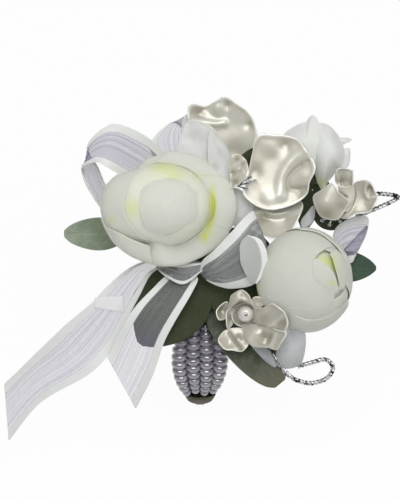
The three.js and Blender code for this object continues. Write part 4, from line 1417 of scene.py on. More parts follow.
# %% Satin petal and satin strips
SATIN_PETAL = [
    (304, 344, 22), (303, 331, 27), (296, 324, 31), (286, 317, 33), (284, 332, 28), (278, 343, 22),
    (275, 352, 18), (278, 361, 17), (284, 367, 16), (294, 366, 16), (301, 360, 17),
]
SATIN_STRIP = [
    (277, 361, 15), (271, 352, 16), (262, 344, 17), (251, 344, 17), (258, 353, 16), (266, 361, 15),
    (274, 366, 14.5),
]
SIDE_SATIN = [
    (314, 211, 12), (312, 206, 12), (306, 213, 13), (300, 221, 13), (301, 227, 13), (308, 226, 13),
    (313, 219, 12),
]
satin = {"slot": "silk", "materials": [satin_face], "wall": PETAL_WALL, "lip": 0.0}
disc_petal(
    "satin_petal_round", nodes=["satin_petal"], **satin, outline=SATIN_PETAL, middle=(291, 345, 23.5),
    dish=-1.2, crinkle=0.2, seed=12.0,
)
disc_petal("satin_strip_low", **satin, outline=SATIN_STRIP, middle=(265, 354, 16.4), dish=-0.3)
disc_petal("satin_fold_side", **satin, outline=SIDE_SATIN, middle=(307, 217, 13), dish=-0.3)
print("satin petal and two strips made")

# %% [markdown]
# ## Round pearl
# The lower flower holds a round pearl on a pin. Both are balls rolled from a grid: the pearl is pressed
# in round its hole, and the pin's head is a flat button with a hollow on top.

# %% Round pearl on its pin
PEARL_MIDDLE = (18.9, -12.6, 24)
PEARL_RADIUS = 3.4
PEARL_GRID = (32, 20)
PEARL_DIMPLE = 0.12
DIMPLE_FROM = 0.93
PIN_RADIUS = 0.85
PIN_GRID = (20, 12)
PIN_SINK = 0.25
PIN_FLATNESS = 0.6
PIN_HOLLOW = 0.35
PIN_HOLLOW_FROM = 0.75
pearl_place = SPRAY @ moved(PEARL_MIDDLE)


def ball_direction(u, v):
    return oval_place((1, 1, 1), (0, 0, 0), 180 * (1 - v), 180 * (u + 1))


def pearl_skin(u, v):
    out = ball_direction(u, v)
    return PEARL_RADIUS * (1 - PEARL_DIMPLE * rise(out.z, DIMPLE_FROM, 1.0)) * out


def pin_head(u, v):
    out = PIN_RADIUS * ball_direction(u, v)
    hollow = 1 - PIN_HOLLOW * rise(out.z / PIN_RADIUS, PIN_HOLLOW_FROM, 1.0)
    return Vector((out.x, out.y, PEARL_RADIUS - PIN_SINK + PIN_FLATNESS * out.z * hollow))


pearl = roll("lower_flower_pearl", pearl_skin, pearl_place, PEARL_GRID, round_pearl)
seat(pearl, ["lower_pearl_bead"])
pin = roll("lower_flower_pin", pin_head, pearl_place, PIN_GRID, silver_wire)
seat(pin, [])
print("pearl", 2 * PEARL_RADIUS, "mm across")

# %% [markdown]
# ## Twisted wire
# The loops are three silver strands twisted together. Each strand is a thin tube whose centre circles
# the path of the wire, a third of a turn after the one before.

# %% Twisted wire
STRANDS = 3
STRAND_RADIUS = 0.56
STRAND_SWAY = 0.48
STRAND_SIDES = 7
STRAND_TIP_FROM = 0.995
STRAND_TIP = 0.6
TWIST_PITCH = 8
STEPS_PER_TWIST = 16
LENGTH_STEPS = 200


def length_of(points):
    curve = through(points)
    places = [curve(k / LENGTH_STEPS) for k in range(LENGTH_STEPS + 1)]
    return sum((b - a).length for a, b in zip(places, places[1:]))


def strand_radius(u, v):
    return STRAND_RADIUS * (1 - STRAND_TIP * rise(v, STRAND_TIP_FROM, 1.0))


def twisted_wire(name, points, nodes):
    turns = length_of(points) / TWIST_PITCH
    size = (STRAND_SIDES, int(turns * STEPS_PER_TWIST))
    parts = []
    for k in range(STRANDS):
        def sway(v, start=k / STRANDS):
            angle = 2 * math.pi * (turns * v + start)
            return STRAND_SWAY * math.cos(angle), STRAND_SWAY * math.sin(angle)

        parts.append(tube(f"{name}_{k}", points, strand_radius, SPRAY, size, silver_wire, sway))
    print(name, round(length_of(points)), "mm long")
    return seat(join(name, parts), nodes)


RIGHT_WIRE = [
    (7, 31, 6), (30, 35, -1), (56, 38, 2), (68, 37, 10), (76, 37.2, 13), (82.2, 35.9, 14),
    (78, 33.2, 13), (70, 29.8, 11), (65, 27.6, 9),
]
BOTTOM_WIRE = [
    (3, 1, 9), (14, -14, 14), (29, -28.6, 15.4), (36.5, -37.8, 15), (42, -40.9, 14.5),
    (47.5, -41.4, 14), (53, -39.2, 14), (55.2, -34.9, 14.5), (52, -31.7, 15), (46, -33, 15.5),
    (40.5, -34.6, 16),
]
twisted_wire("right_wire", RIGHT_WIRE, ["right_wire_loop"])
twisted_wire("bottom_wire", BOTTOM_WIRE, ["bottom_wire_loop"])

# %% [markdown]
# ## Stamens
# Two of the lacquered flowers have fine wires that end in cut crystals. A crystal starts as an
# icosphere, and Limited Dissolve merges its faces into fewer, flatter ones, so it glints as cut glass
# does.

# %% Stamens
STAMENS = {
    "pearl": (
        (236.5, 187, 20), [(254, 182, 25), (249.5, 178, 25), (246, 190, 24)], ["pearl_flower_stamens"],
    ),
    "corner": ((332, 214, 13), [(321, 221, 15), (328, 225, 15.5), (339, 222, 15)], []),
}
STAMEN_RADIUS = 0.35
STAMEN_GRID = (8, 12)
STAMEN_ARCH = Vector((0, 0, 0.8))
CRYSTAL_RADIUS = 0.8
FACET_DEG = 24


def stamen_radius(u, v):
    return STAMEN_RADIUS


def cut_crystal(place):
    bpy.ops.object.select_all(action="DESELECT")
    bpy.ops.mesh.primitive_ico_sphere_add(
        subdivisions=2, radius=CRYSTAL_RADIUS * MM, location=SPRAY @ place,
    )
    stone = bpy.context.object
    bpy.ops.object.transform_apply(location=True, rotation=True, scale=True)
    bpy.ops.object.mode_set(mode="EDIT")
    bpy.ops.mesh.select_all(action="SELECT")
    bpy.ops.mesh.dissolve_limited(angle_limit=math.radians(FACET_DEG))
    bpy.ops.object.mode_set(mode="OBJECT")
    stone.data.materials.append(crystal)
    return stone


for flower, (hub, ends, nodes) in STAMENS.items():
    wires = []
    crystals = []
    start = from_photo(*hub)
    for k, end in enumerate(ends):
        tip = from_photo(*end)
        path = [start, start.lerp(tip, 0.5) + STAMEN_ARCH, tip]
        wires.append(tube(f"stamen_{k}", path, stamen_radius, SPRAY, STAMEN_GRID, silver_wire))
        crystals.append(cut_crystal(tip))
    seat(join(f"{flower}_stamen_wires", wires), nodes)
    seat(join(f"{flower}_stamen_crystals", crystals), [])
    print(flower, "stamens:", len(ends))

# %% [markdown]
# ## Leaves
# The leaves are felted sage leaves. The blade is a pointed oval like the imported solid's, with more
# points, a folded midrib and side veins pressed into it. The veins are also painted as an attribute, so
# that the colour can follow them.

# %% Veins of a leaf
VEIN_PAIRS = 7
VEIN_SLANT = 0.35
MIDRIB_WIDTH = 0.07
VEIN_WIDTH = 0.12
SIDE_VEIN_SHARE = 0.6
VEIN_STARTS = (0.02, 0.15)
VEIN_FADES = (0.05, 0.4)
BLADE_STARTS = (0.0, 0.06)


def bell(value, width):
    return math.exp(-((value / width) ** 2))


def vein_at(u, share):
    slant = (share - VEIN_SLANT * abs(u)) * VEIN_PAIRS
    inside = rise(abs(u), *VEIN_STARTS) * rise(1 - abs(u), *VEIN_FADES)
    side = bell(slant - round(slant), VEIN_WIDTH) * inside
    return max(bell(u, MIDRIB_WIDTH), SIDE_VEIN_SHARE * side) * rise(share, *BLADE_STARTS)

# %% A leaf
LEAF_WALL = 0.6
LEAF_GRID = (28, 70)
STALK_HALF = 0.9
FULLEST_POWER = 0.85
TIP_SHARE = 0.992
TIP_NARROWING = 0.9
TIP_NARROWS = (0.5, 1)
MIDRIB_FOLD = 0.12
FOLD_OPENS = (0, 0.2)
EDGE_WAVE = 0.5
EDGE_WAVES = 9
EDGE_WAVE_SLANT = 2
EDGE_WAVE_OPENS = (0.1, 0.4)
VEIN_PRESS = 0.18


def leaf(name, nodes, material, blade, stalk, place, heading, arch=0.5, lift=0, roll_deg=0, taper=0.62):
    length, width = blade
    whole = length + stalk
    matrix = SPRAY @ moved(place) @ turned(heading - 90, "Z")
    matrix = matrix @ turned(lift, "X") @ turned(roll_deg, "Y")

    def share_of(v):
        return min(max((v * whole - stalk) / length, 0.0), 1.0)

    def half_width(share):
        return width / 2 * sin_deg(180 * min(TIP_SHARE, share) ** FULLEST_POWER) ** taper

    def blade_point(u, v):
        share = share_of(v)
        half = max(STALK_HALF * (1 - TIP_NARROWING * rise(share, *TIP_NARROWS)), half_width(share))
        fold = MIDRIB_FOLD * abs(u) * half * rise(share, *FOLD_OPENS)
        wave = EDGE_WAVE * math.sin(EDGE_WAVES * share + EDGE_WAVE_SLANT * u) * u * u
        wave *= rise(share, *EDGE_WAVE_OPENS)
        press = -VEIN_PRESS * vein_at(u, share)
        return Vector((half * u, v * whole, arch * math.sin(math.pi * v) + fold + wave + press))

    piece = skin(name, blade_point, matrix, LEAF_GRID, LEAF_WALL, [material])
    back = matrix.inverted()

    def painted(point):
        local = back @ point
        share = share_of(local.y / whole)
        half = max(STALK_HALF, half_width(share))
        return vein_at(max(-1, min(1, local.x / half)), share)

    paint(piece, "vein", painted)
    return seat(piece, nodes)

# %% The leaves and sepals of the spray
LEAVES = {
    "sage_leaf_left": dict(
        nodes=["left_leaf"], material=sage_leaf, blade=(26, 14), stalk=31, place=(0, 21.6, 3),
        heading=181, arch=1, roll_deg=-10, taper=0.5,
    ),
    "olive_leaf_centre": dict(
        nodes=["centre_leaf"], material=olive_leaf, blade=(40, 31), stalk=5, place=(4, 9, 9.8),
        heading=230, arch=1, lift=2.5, roll_deg=10,
    ),
    "dusty_leaf_bottom": dict(
        nodes=["bottom_leaf"], material=dusty_leaf, blade=(45, 20), stalk=5, place=(2, -3, 10.6),
        heading=309, arch=1, lift=4, taper=0.34,
    ),
    "deep_leaf_right": dict(
        nodes=["right_leaf"], material=deep_leaf, blade=(22, 13), stalk=49, place=(3, 10, 4),
        heading=357, lift=-1,
    ),
    "olive_leaf_shade": dict(
        nodes=["shade_leaf"], material=olive_leaf, blade=(34, 20), stalk=4, place=(2, 7, 8.2),
        heading=213, lift=-3,
    ),
    "olive_leaf_inner": dict(
        nodes=["inner_leaf"], material=olive_leaf, blade=(24, 22), stalk=3, place=(3, 9, 8.8),
        heading=15,
    ),
}
# Sepals behind the flowers fill the gaps between them: real foliage whose dark olive also stands in for
# the shade in those gaps, a painted shade
SEPALS = {
    "pearl_sepal_top": dict(blade=(15, 8), stalk=1, place=(15, 44, 13.5), heading=52),
    "pearl_sepal_right": dict(blade=(31, 14), stalk=2, place=(17, 46, 12.5), heading=356),
    "corner_sepal": dict(blade=(17, 9), stalk=1, place=(46, 40, 9), heading=262),
    "corner_sepal_low": dict(blade=(15, 10), stalk=1, place=(46.5, 29, 8), heading=346, arch=0.4),
    "lower_sepal": dict(blade=(30, 24), stalk=2, place=(4, 6, 12.5), heading=318, lift=2),
}
for name, form in LEAVES.items():
    leaf(name, **form)
for name, form in SEPALS.items():
    leaf(name, [], olive_leaf, **form)
print("leaves:", len(LEAVES), "sepals:", len(SEPALS))

# %% [markdown]
# ## Stems
# Green paper tape is wound round the bundle of stems, so the bundle has the low steps of a spiral. Each
# bloom has its own stem, which swells into a calyx cup behind the petals.

# %% A taped stem
TAPE_THIN = 0.97
TAPE_STEP = 0.06


def taped(name, node, points, radius_along, size, turns):
    def radius(u, v):
        climb = (turns * v + (u + 1) / 2) % 1.0
        return radius_along(v) * (TAPE_THIN + TAPE_STEP * climb)

    return seat(tube(name, points, radius, SPRAY, size, stem_tape), [node])

# %% The bundle
WRAP = 4.6
BUNDLE_GRID = (24, 90)
BUNDLE_TURNS = 9
BUNDLE_PATH = [(0, -3, 4.5), (1, 6, 6), (4, 18, 7), (7, 31, 8)]
bundle_radius = stops((0, 0.7 * WRAP), (0.15, WRAP), (0.8, WRAP), (1, 2.6))
taped("stem_bundle", "stem_wrap", BUNDLE_PATH, bundle_radius, BUNDLE_GRID, BUNDLE_TURNS)
print("stems bundled")

# %% The stems
STEM = 1.3
STEM_GRID = (18, 60)
STEM_TURNS = 14


def calyx(cup_radius, seat_radius):
    return stops(
        (0, STEM), (0.66, STEM), (0.74, 0.45 * cup_radius), (0.9, cup_radius), (1, seat_radius),
    )


THIN_STEM = 0.9
plain_stem = stops((0, THIN_STEM), (1, THIN_STEM))
pearl_stem = stops((0, 1), (0.7, 1), (1, 2.6))
STEMS = {
    "large_bloom": (
        [(3, 17, 6), (-5, 23, 4), (-11, 27.5, 1.5), (-12.6, 28.4, 5), (-12.6, 29.5, 13)], calyx(11, 6),
    ),
    "medium_bloom": (
        [(2, 8, 6), (14, 5, 3), (28, 1, 0.5), (33, 0.2, 3.5), (36, 0.5, 9)], calyx(7.5, 5),
    ),
    "rosebud": ([(6, 27, 7), (22, 30, 3), (41, 34, 0.5), (49, 38, 1.6), (49.6, 44, 4)], calyx(4.6, 3)),
    "pearl_flower": ([(7, 29, 8), (11, 37, 8), (16, 45, 11), (17, 46.6, 15)], pearl_stem),
    "right_pearl": ([(7, 30, 8), (30, 29, 1), (52, 32, 1), (59, 35, 8), (60.5, 36, 15)], plain_stem),
    "lower_pearl": ([(2, 4, 8), (10, -2, 12), (16, -9, 13), (18.9, -12.6, 16)], plain_stem),
}
for name, (points, radius_along) in STEMS.items():
    taped(f"{name}_taped_stem", f"{name}_stem", points, radius_along, STEM_GRID, STEM_TURNS)
print("stems:", len(STEMS))

# %% [markdown]
# ## Ribbon
# The bow is cut from one sheer ribbon 20 mm wide with satin edges. Each tail or loop runs between two
# edge curves that keep close to those of the imported solids. Where it comes to the knot it is gathered,
# so pleats fold into it there.

# %% A ribbon between two edges
RIBBON_WALL = 0.16
RIBBON_SIDES = 22
GATHERED_WIDTH = 4
OPEN_WIDTH = 15
PLEATS = 5
BILLOW = 0.8
WAVES = 11
WAVE_SLANT = 2.2


def ribbon(
    name, nodes, one_edge, other_edge, body, wave=0.5, along=84, pleats=0.9,
    material=organza,
):
    one = through(one_edge)
    other = through(other_edge)

    def flat(u, v):
        return one(v).lerp(other(v), (u + 1) / 2)

    def relief(u, v):
        pinch = 1 - rise((one(v) - other(v)).length, GATHERED_WIDTH, OPEN_WIDTH)
        pleat = pleats * pinch * math.sin(PLEATS * math.pi * u)
        ripple = wave * math.sin(WAVES * v + WAVE_SLANT * u) * (1 - pinch)
        return BILLOW * (1 - u * u) * (1 - pinch) + pleat + ripple

    piece = skin(name, with_relief(flat, relief), SPRAY, (RIBBON_SIDES, along), RIBBON_WALL, [material])
    length = (length_of(one_edge) + length_of(other_edge)) / 2
    seat(piece, nodes, body)
    return piece

# %% [markdown]
# ## Tails of the bow
# Two loose tails hang from the knot, one long and one short. Each rides on its own body, so it can
# lift.

# %% Tails of the bow
LONG_TAIL_UPPER = [
    (-9.4, 8.2, 13), (-20, 9.6, 12), (-28.7, 6.9, 13), (-37.9, -0.5, 13), (-45.5, -8.4, 12),
    (-54.6, -16, 9.5), (-63.5, -24.3, 6), (-73.5, -33.8, 1), (-82.7, -42.6, -4),
]
LONG_TAIL_LOWER = [
    (-9.4, 4.6, 11), (-15, 6.2, 11.5), (-20.4, 3.6, 12.3), (-25.2, -5.4, 12.7), (-30.5, -15.5, 12),
    (-36.2, -27, 10.8), (-46, -37.8, 10), (-66.7, -50.1, 2.5), (-80.8, -66.8, -4),
]
SHORT_TAIL_LEFT = [
    (-12, 3.6, 14), (-15.5, 2, 15.5), (-20.7, -2.9, 17), (-26.5, -9.2, 18), (-31.5, -16.6, 17),
    (-35.6, -24.2, 14.5), (-38.6, -31.2, 12.5),
]
SHORT_TAIL_RIGHT = [
    (-2.4, 4, 15.8), (-0.8, 1.2, 17.4), (-3.9, -5, 19.6), (-9.2, -13.8, 20), (-14.6, -24, 18.5),
    (-19.6, -38.4, 14), (-26.9, -52.7, 8),
]
ribbon(
    "long_ribbon_tail", ["long_tail"], LONG_TAIL_UPPER, LONG_TAIL_LOWER, "long_tail",
    pleats=0.3,
)
ribbon(
    "short_ribbon_tail", ["short_tail"], SHORT_TAIL_LEFT, SHORT_TAIL_RIGHT, "short_tail",
    pleats=0.2, material=short_organza,
)

# %% [markdown]
# ## Loops of the bow
# Four loops stand round the flowers: one at the left, one behind the large bloom, one over the knot and
# one at the right. A loop is one strip that goes out and comes back, so its edge curves do the same.

# %% Loops at the left and behind
LEFT_LOOP_UPPER = [
    (0, 24, 3.5), (-10, 46, 5), (-17.6, 57.5, 9), (-27, 63.8, 13), (-36, 66.4, 15), (-43.3, 62.2, 13),
    (-46.6, 56, 9), (-42.4, 48.3, 4), (-38.6, 39.9, 3), (-30, 31, 2), (-10, 24, 2),
]
LEFT_LOOP_LOWER = [
    (-2, 21, 3), (-16, 33, 4), (-25, 40, 8), (-32, 44, 13), (-38.5, 48.2, 16.5), (-43.4, 50.4, 15.5),
    (-48.7, 48.7, 12), (-49.6, 46.6, 7), (-46.2, 38.2, 5), (-37, 28, 3), (-12, 21, 2),
]
BACK_LOOP_UPPER = [
    (2, 28, 3), (-3, 48, 5), (-5, 62, 8), (-5, 70.5, 9), (-2, 69, 6), (3, 58, 3), (8, 36, 2.5),
]
BACK_LOOP_LOWER = [
    (0, 26, 2.4), (-14, 46, 3.5), (-21, 57, 5), (-13.5, 66.5, 6), (-8, 65, 4), (-3, 54, 1.5),
    (4, 34, 1),
]
ribbon(
    "left_ribbon_loop", ["left_loop"], LEFT_LOOP_UPPER, LEFT_LOOP_LOWER, ROOT,
    material=double_organza,
)
ribbon(
    "back_ribbon_loop", ["back_loop"], BACK_LOOP_UPPER, BACK_LOOP_LOWER, ROOT,
    wave=0.2, pleats=0.0,
)

# %% Loops over the knot and at the right
CENTRE_LOOP_UPPER = [
    (-1.2, 5, 17.8), (1, 9.6, 21.4), (6, 14, 26.5), (13.4, 22, 29), (19.4, 28.4, 28),
    (22.5, 29.5, 24.5), (15, 20, 19), (8, 11, 14.5), (3.5, 5, 12),
]
CENTRE_LOOP_LOWER = [
    (3.2, 1.6, 18.2), (7.5, -1.2, 20.2), (13.4, -2.4, 22.2), (22.7, 0, 26.5), (27.7, 8.8, 27.8),
    (27, 10.5, 23.5), (21.5, 2.5, 18.5), (12, -0.5, 14), (4.2, 2.4, 12),
]
RIGHT_LOOP_UPPER = [
    (4, 13, 6), (30, 11, 1), (52, 8, 3), (56, 22, 9), (61, 26.5, 11.5), (66, 28, 11.5), (70, 27.5, 10),
    (69, 24, 6), (60, 14, 3),
]
RIGHT_LOOP_LOWER = [
    (4, 10, 6), (31, 7.6, 1), (56, 4.6, 2), (61, 8, 5), (62.5, 8.4, 6), (63.8, 8.8, 6), (64.6, 10, 5),
    (64.2, 10.4, 4), (61, 9, 2),
]
ribbon(
    "centre_ribbon_loop", ["centre_loop"], CENTRE_LOOP_UPPER, CENTRE_LOOP_LOWER, ROOT,
    material=knot_organza,
)
ribbon(
    "right_ribbon_loop", ["right_loop"], RIGHT_LOOP_UPPER, RIGHT_LOOP_LOWER, ROOT,
    material=double_organza,
)

# %% [markdown]
# ## Folds of the ribbon
# Three short turned parts of the ribbon show: a satin fold that stands in the centre loop, one laid
# over the knot and a white one across the long tail, which is painted near white as a painted highlight.
# Only a part of the width shows, so each is cut narrower.

# %% Folds of the ribbon
FOLD_STEPS = 40
SHORT_FOLD_STEPS = 24
CENTRE_FOLD_LEFT = [
    (18.7, 20.2, 28.5), (16.4, 16, 29.5), (16.4, 11.5, 30), (17.2, 7, 30), (20.8, 0, 29.5),
]
CENTRE_FOLD_RIGHT = [
    (19.1, 20.2, 28.5), (24.8, 18.2, 31), (27.4, 12.7, 33), (27.4, 6.2, 33), (23.4, 0, 30.5),
]
TAIL_FOLD_UPPER = [(-43.7, -5.8, 12.9), (-38, -5.6, 13.6), (-32, -5.3, 12.9)]
TAIL_FOLD_LOWER = [(-43.7, -9.9, 12.9), (-38, -11, 13.6), (-32, -11.8, 12.9)]
KNOT_FOLD_UPPER = [(-18, 7.4, 16), (-13, 8.2, 18), (-6.5, 8.2, 19.2), (1, 8.6, 19.8)]
KNOT_FOLD_LOWER = [(-18.4, 6.6, 15.8), (-14, 2.6, 17.2), (-6.6, -0.4, 18.2), (1.2, 5.4, 19.2)]
ribbon(
    "centre_ribbon_fold", [], CENTRE_FOLD_LEFT, CENTRE_FOLD_RIGHT, ROOT,
    wave=0.2, along=FOLD_STEPS, pleats=0.0, material=folded_satin,
)
ribbon(
    "knot_ribbon_fold", [], KNOT_FOLD_UPPER, KNOT_FOLD_LOWER, "short_tail",
    wave=0.2, along=FOLD_STEPS, pleats=0.2, material=knot_organza,
)
# The fold across the long tail is painted near white, a painted highlight
ribbon(
    "tail_ribbon_fold", [], TAIL_FOLD_UPPER, TAIL_FOLD_LOWER, "long_tail",
    wave=0.0, along=SHORT_FOLD_STEPS, pleats=0.0, material=satin_fold_highlight,
)

# %% [markdown]
# ## Knot of the bow
# The knot is ribbon pulled tight, so it is a short tube of satin with shallow gathers that turn along
# it.

# %% Knot of the bow
KNOT = 2.8
KNOT_GRID = (28, 60)
KNOT_END_SHARE = 0.6
GATHER_DEPTH = 0.06
GATHERS = 6
GATHER_TWIST = 2
KNOT_PATH = [(-9, 6, 12.4), (-4, 6.6, 13.2), (1.5, 7.4, 13.6)]
knot_width = stops((0, KNOT_END_SHARE * KNOT), (0.3, KNOT), (0.7, KNOT), (1, KNOT_END_SHARE * KNOT))


def knot_radius(u, v):
    gather = math.cos(GATHERS * math.pi * u + GATHER_TWIST * v)
    return knot_width(v) * (1 - GATHER_DEPTH + GATHER_DEPTH * gather)


knot = tube("gathered_knot", KNOT_PATH, knot_radius, SPRAY, KNOT_GRID, satin_face)
seat(knot, ["ribbon_knot"])
print("knot tied")

# %% [markdown]
# ## Beaded wristband
# Four strands of mirror beads on each side run from holes in the plate to an oval end cap, and an
# elastic strap closes the band under the wrist. One bead is modelled, flattened to a rondelle with a
# dimple at each end of its hole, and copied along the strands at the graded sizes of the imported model.

# %% Measures of the band
BAND_RADIUS = 31.3
BEAD_DIAMETER = 5.2
END_BEAD_DIAMETER = 2.6
BEAD_PITCH = 3.15
BEADS_PER_STRAND = 12
STRAND_COUNT = 4
STRAND_SIDE_GAP = 0.55
BEAD_SNUG = 1.3
BEAD_LENGTH_SHARE = 0.6
STAGGER_SHARE = 0.25
GRADING_POWER = 0.8
STRAND_START_DEG = 26
HOLE_REACH = 10.4
BEAD_STEP_DEG = math.degrees(BEAD_PITCH / BAND_RADIUS)
PLATE_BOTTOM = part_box("base_plate")[0].z / MM
FACINGS = {"front": Matrix.Identity(4), "back": turned(180, "Z")}


def on_band(degrees, radius=BAND_RADIUS):
    return Vector((0, -radius * sin_deg(degrees), radius * cos_deg(degrees)))


def bead_diameter(share):
    return mix(END_BEAD_DIAMETER, BEAD_DIAMETER, math.sin(math.pi * share) ** GRADING_POWER)


print("beads step", round(BEAD_STEP_DEG, 2), "degrees round the band")

# %% One bead
BEAD_FULLNESS = 0.10
BEAD_DIMPLE = 0.16
HOLE_SHARE = 0.3
bpy.ops.object.select_all(action="DESELECT")
bpy.ops.mesh.primitive_uv_sphere_add(segments=20, ring_count=12, radius=1)
bead = bpy.context.object
for vertex in bead.data.vertices:
    x, y, z = vertex.co
    fuller = 1.0 + BEAD_FULLNESS * math.sin(2 * math.asin(min(1.0, abs(z))))
    dimple = 1 - BEAD_DIMPLE * (1 - rise(math.hypot(x, y), 0, HOLE_SHARE))
    vertex.co = (x * fuller, y * fuller, z * dimple)
bpy.ops.object.shade_smooth()
bead.data.materials.append(mirror_bead)
print("bead faces:", len(bead.data.polygons))

# %% A strand of beads on its cord
BEAD_TURN_DEG = 17
CORD_RADIUS = 0.42
CORD_IN_BEADS = 2.3
CORD_SWELLS = (0.12, 0.35)
CORD_THINS = (0.0, 0.3)
CORD_GRID = (10, 60)
CORD_TOP = 1.2
CORD_EXIT = 0.5


def cord_radius(u, v):
    return mix(CORD_RADIUS, CORD_IN_BEADS, rise(v, *CORD_SWELLS) * rise(1 - v, *CORD_THINS))


def strung_bead(name, k, offset, stagger, facing):
    degrees = STRAND_START_DEG + (k + 0.5 + stagger) * BEAD_STEP_DEG
    diameter = bead_diameter((k + 0.5) / BEADS_PER_STRAND)
    centre = on_band(degrees)
    centre.x = offset * (diameter + STRAND_SIDE_GAP)
    half = BEAD_SNUG * diameter / 2
    size = Matrix.Diagonal((half, half, BEAD_LENGTH_SHARE * BEAD_PITCH, 1))
    turn = turned(90 + degrees, "X") @ turned(BEAD_TURN_DEG * k, "Z")
    copy = bpy.data.objects.new(name, bead.data.copy())
    copy.data.transform(BAND @ facing @ moved(centre) @ turn @ size)
    bpy.context.collection.objects.link(copy)
    return copy


def cord_path(offset):
    end = offset * (END_BEAD_DIAMETER + STRAND_SIDE_GAP)
    path = [(end, -HOLE_REACH, PLATE_BOTTOM + CORD_TOP), (end, -HOLE_REACH, PLATE_BOTTOM - CORD_EXIT)]
    for k in range(BEADS_PER_STRAND + 1):
        point = on_band(STRAND_START_DEG + k * BEAD_STEP_DEG)
        point.x = offset * (bead_diameter(k / BEADS_PER_STRAND) + STRAND_SIDE_GAP)
        path.append(point)
    return path

# %% All the strands
for side, facing in FACINGS.items():
    for index in range(STRAND_COUNT):
        name = f"{side}_bead_row_{index + 1}"
        offset = index - (STRAND_COUNT - 1) / 2
        stagger = STAGGER_SHARE * (-1) ** index
        row = [strung_bead(f"{name}_{k}", k, offset, stagger, facing) for k in range(BEADS_PER_STRAND)]
        cord = tube(
            f"{name}_cord", cord_path(offset), cord_radius, BAND @ facing, CORD_GRID, mirror_bead,
        )
        seat(join(name, [*row, cord]), [f"{side}_strand_{index + 1}"], f"{side}_panel")
bpy.data.objects.remove(bead)
print("beads:", 2 * STRAND_COUNT * BEADS_PER_STRAND)

# %% [markdown]
# ## End caps
# An oval gold cap gathers the four strands. It is one profile of widths and depths carried round the
# band: a hollow mouth, a thick rolled rim and a body that narrows to the strap. The rim is painted as
# polished, and this bright rim also stands in as a painted highlight.

# %% End caps with a polished rim, also a painted highlight
CAP_GRID = (40, 52)
RIM_HALF_WIDTH = 6.2
RIM_SHARE = 0.3
RUBBED_AND_HIGHLIGHT_ENDS = (0.84, 0.94)
RIM_BLUR = 0.1
END_GAP_DEG = 1.2
CAP_LENGTH = 9
CAP_START_DEG = STRAND_START_DEG + BEADS_PER_STRAND * BEAD_STEP_DEG + END_GAP_DEG
CAP_END_DEG = CAP_START_DEG + math.degrees(CAP_LENGTH / BAND_RADIUS)
CAP_PROFILE = [
    (0.45, 3.0, 0.8), (0.42, 5.0, 1.5), (0.05, 5.8, 2.0), (0.0, 6.0, 2.2), (0.0, 6.5, 2.7),
    (0.03, 6.65, 2.85), (0.1, 6.65, 2.85), (0.14, 6.35, 2.5), (0.3, 6.2, 2.35), (0.55, 5.8, 2.1),
    (0.75, 5.1, 1.8), (0.9, 4.0, 1.5), (0.97, 2.8, 1.2), (1.0, 1.4, 0.7),
]
cap_line = through([(width, depth, share) for share, width, depth in CAP_PROFILE])


def cap_skin(u, v):
    width, depth, share = cap_line(v)
    degrees = mix(CAP_START_DEG, CAP_END_DEG, share)
    angle = math.pi * (u + 1)
    out = on_band(degrees).normalized()
    return on_band(degrees) + Vector((width * math.cos(angle), 0, 0)) + depth * math.sin(angle) * out


# Polish along the cap's edge, which also stands in as a painted highlight
def cap_polish_and_highlight(point):
    degrees = math.degrees(math.atan2(abs(point.y), point.z))
    share = (degrees - CAP_START_DEG) / (CAP_END_DEG - CAP_START_DEG)
    past_rim = max(0.0, share - RIM_SHARE) / (1 - RIM_SHARE)
    reach = math.hypot(abs(point.x) / MM / RIM_HALF_WIDTH, past_rim)
    return rise(reach, *RUBBED_AND_HIGHLIGHT_ENDS) * rise(share, RIM_SHARE - RIM_BLUR, RIM_SHARE + RIM_BLUR)


for side, facing in FACINGS.items():
    cap = roll(f"{side}_gold_cap", cap_skin, BAND @ facing, CAP_GRID, antique_gold)
    paint(cap, "polish_and_highlight", cap_polish_and_highlight)
    seat(cap, [f"{side}_end_cap"], f"{side}_panel")
print("cap from", round(CAP_START_DEG, 1), "to", round(CAP_END_DEG, 1), "degrees round the band")

# %% [markdown]
# ## Elastic strap
# The strap under the wrist stretches as the caps swing apart. It is made in two halves that meet in the
# middle.

# %% Elastic strap in two halves
ELASTIC_WIDTH = 9
ELASTIC_THICKNESS = 1.0
ELASTIC_GRID = (36, 60)
ELASTIC_RIBS = 9
RIB_HEIGHT = 0.12
TUCKED_WIDTH_SHARE = 0.3
STRAP_WIDENS = (0.3, 0.6)
STRAP_TUCK_DEG = 3
STRAP_START_DEG = CAP_END_DEG - STRAP_TUCK_DEG
BAND_BOTTOM_DEG = 180


def strap_point(u, v):
    ribs = RIB_HEIGHT * math.cos(ELASTIC_RIBS * math.pi * u)
    point = on_band(mix(STRAP_START_DEG, BAND_BOTTOM_DEG, v), BAND_RADIUS + ribs)
    point.x = u * ELASTIC_WIDTH / 2 * mix(TUCKED_WIDTH_SHARE, 1.0, rise(v, *STRAP_WIDENS))
    return point


for side, facing in FACINGS.items():
    strap = skin(
        f"{side}_elastic_half", strap_point, BAND @ facing, ELASTIC_GRID, ELASTIC_THICKNESS,
        [elastic_cloth],
    )
    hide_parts("elastic_strap")
    middle = BAND @ on_band(BAND_BOTTOM_DEG)
    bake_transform(strap)
print("strap", ELASTIC_WIDTH, "mm wide")

# %% [markdown]
# ## Plate and pad
# The strands hang from a small metal plate under the stems, and a felt pad keeps the plate off the
# skin. Both are cut from a block whose corners are bevelled round; the holes of the plate are cut with
# Boolean.

# %% A block with round corners
CORNER = 6
CORNER_STEPS = 10
EDGE_STEPS = 3
SHARP_DEG = 50
SMOOTH_DEG = 35


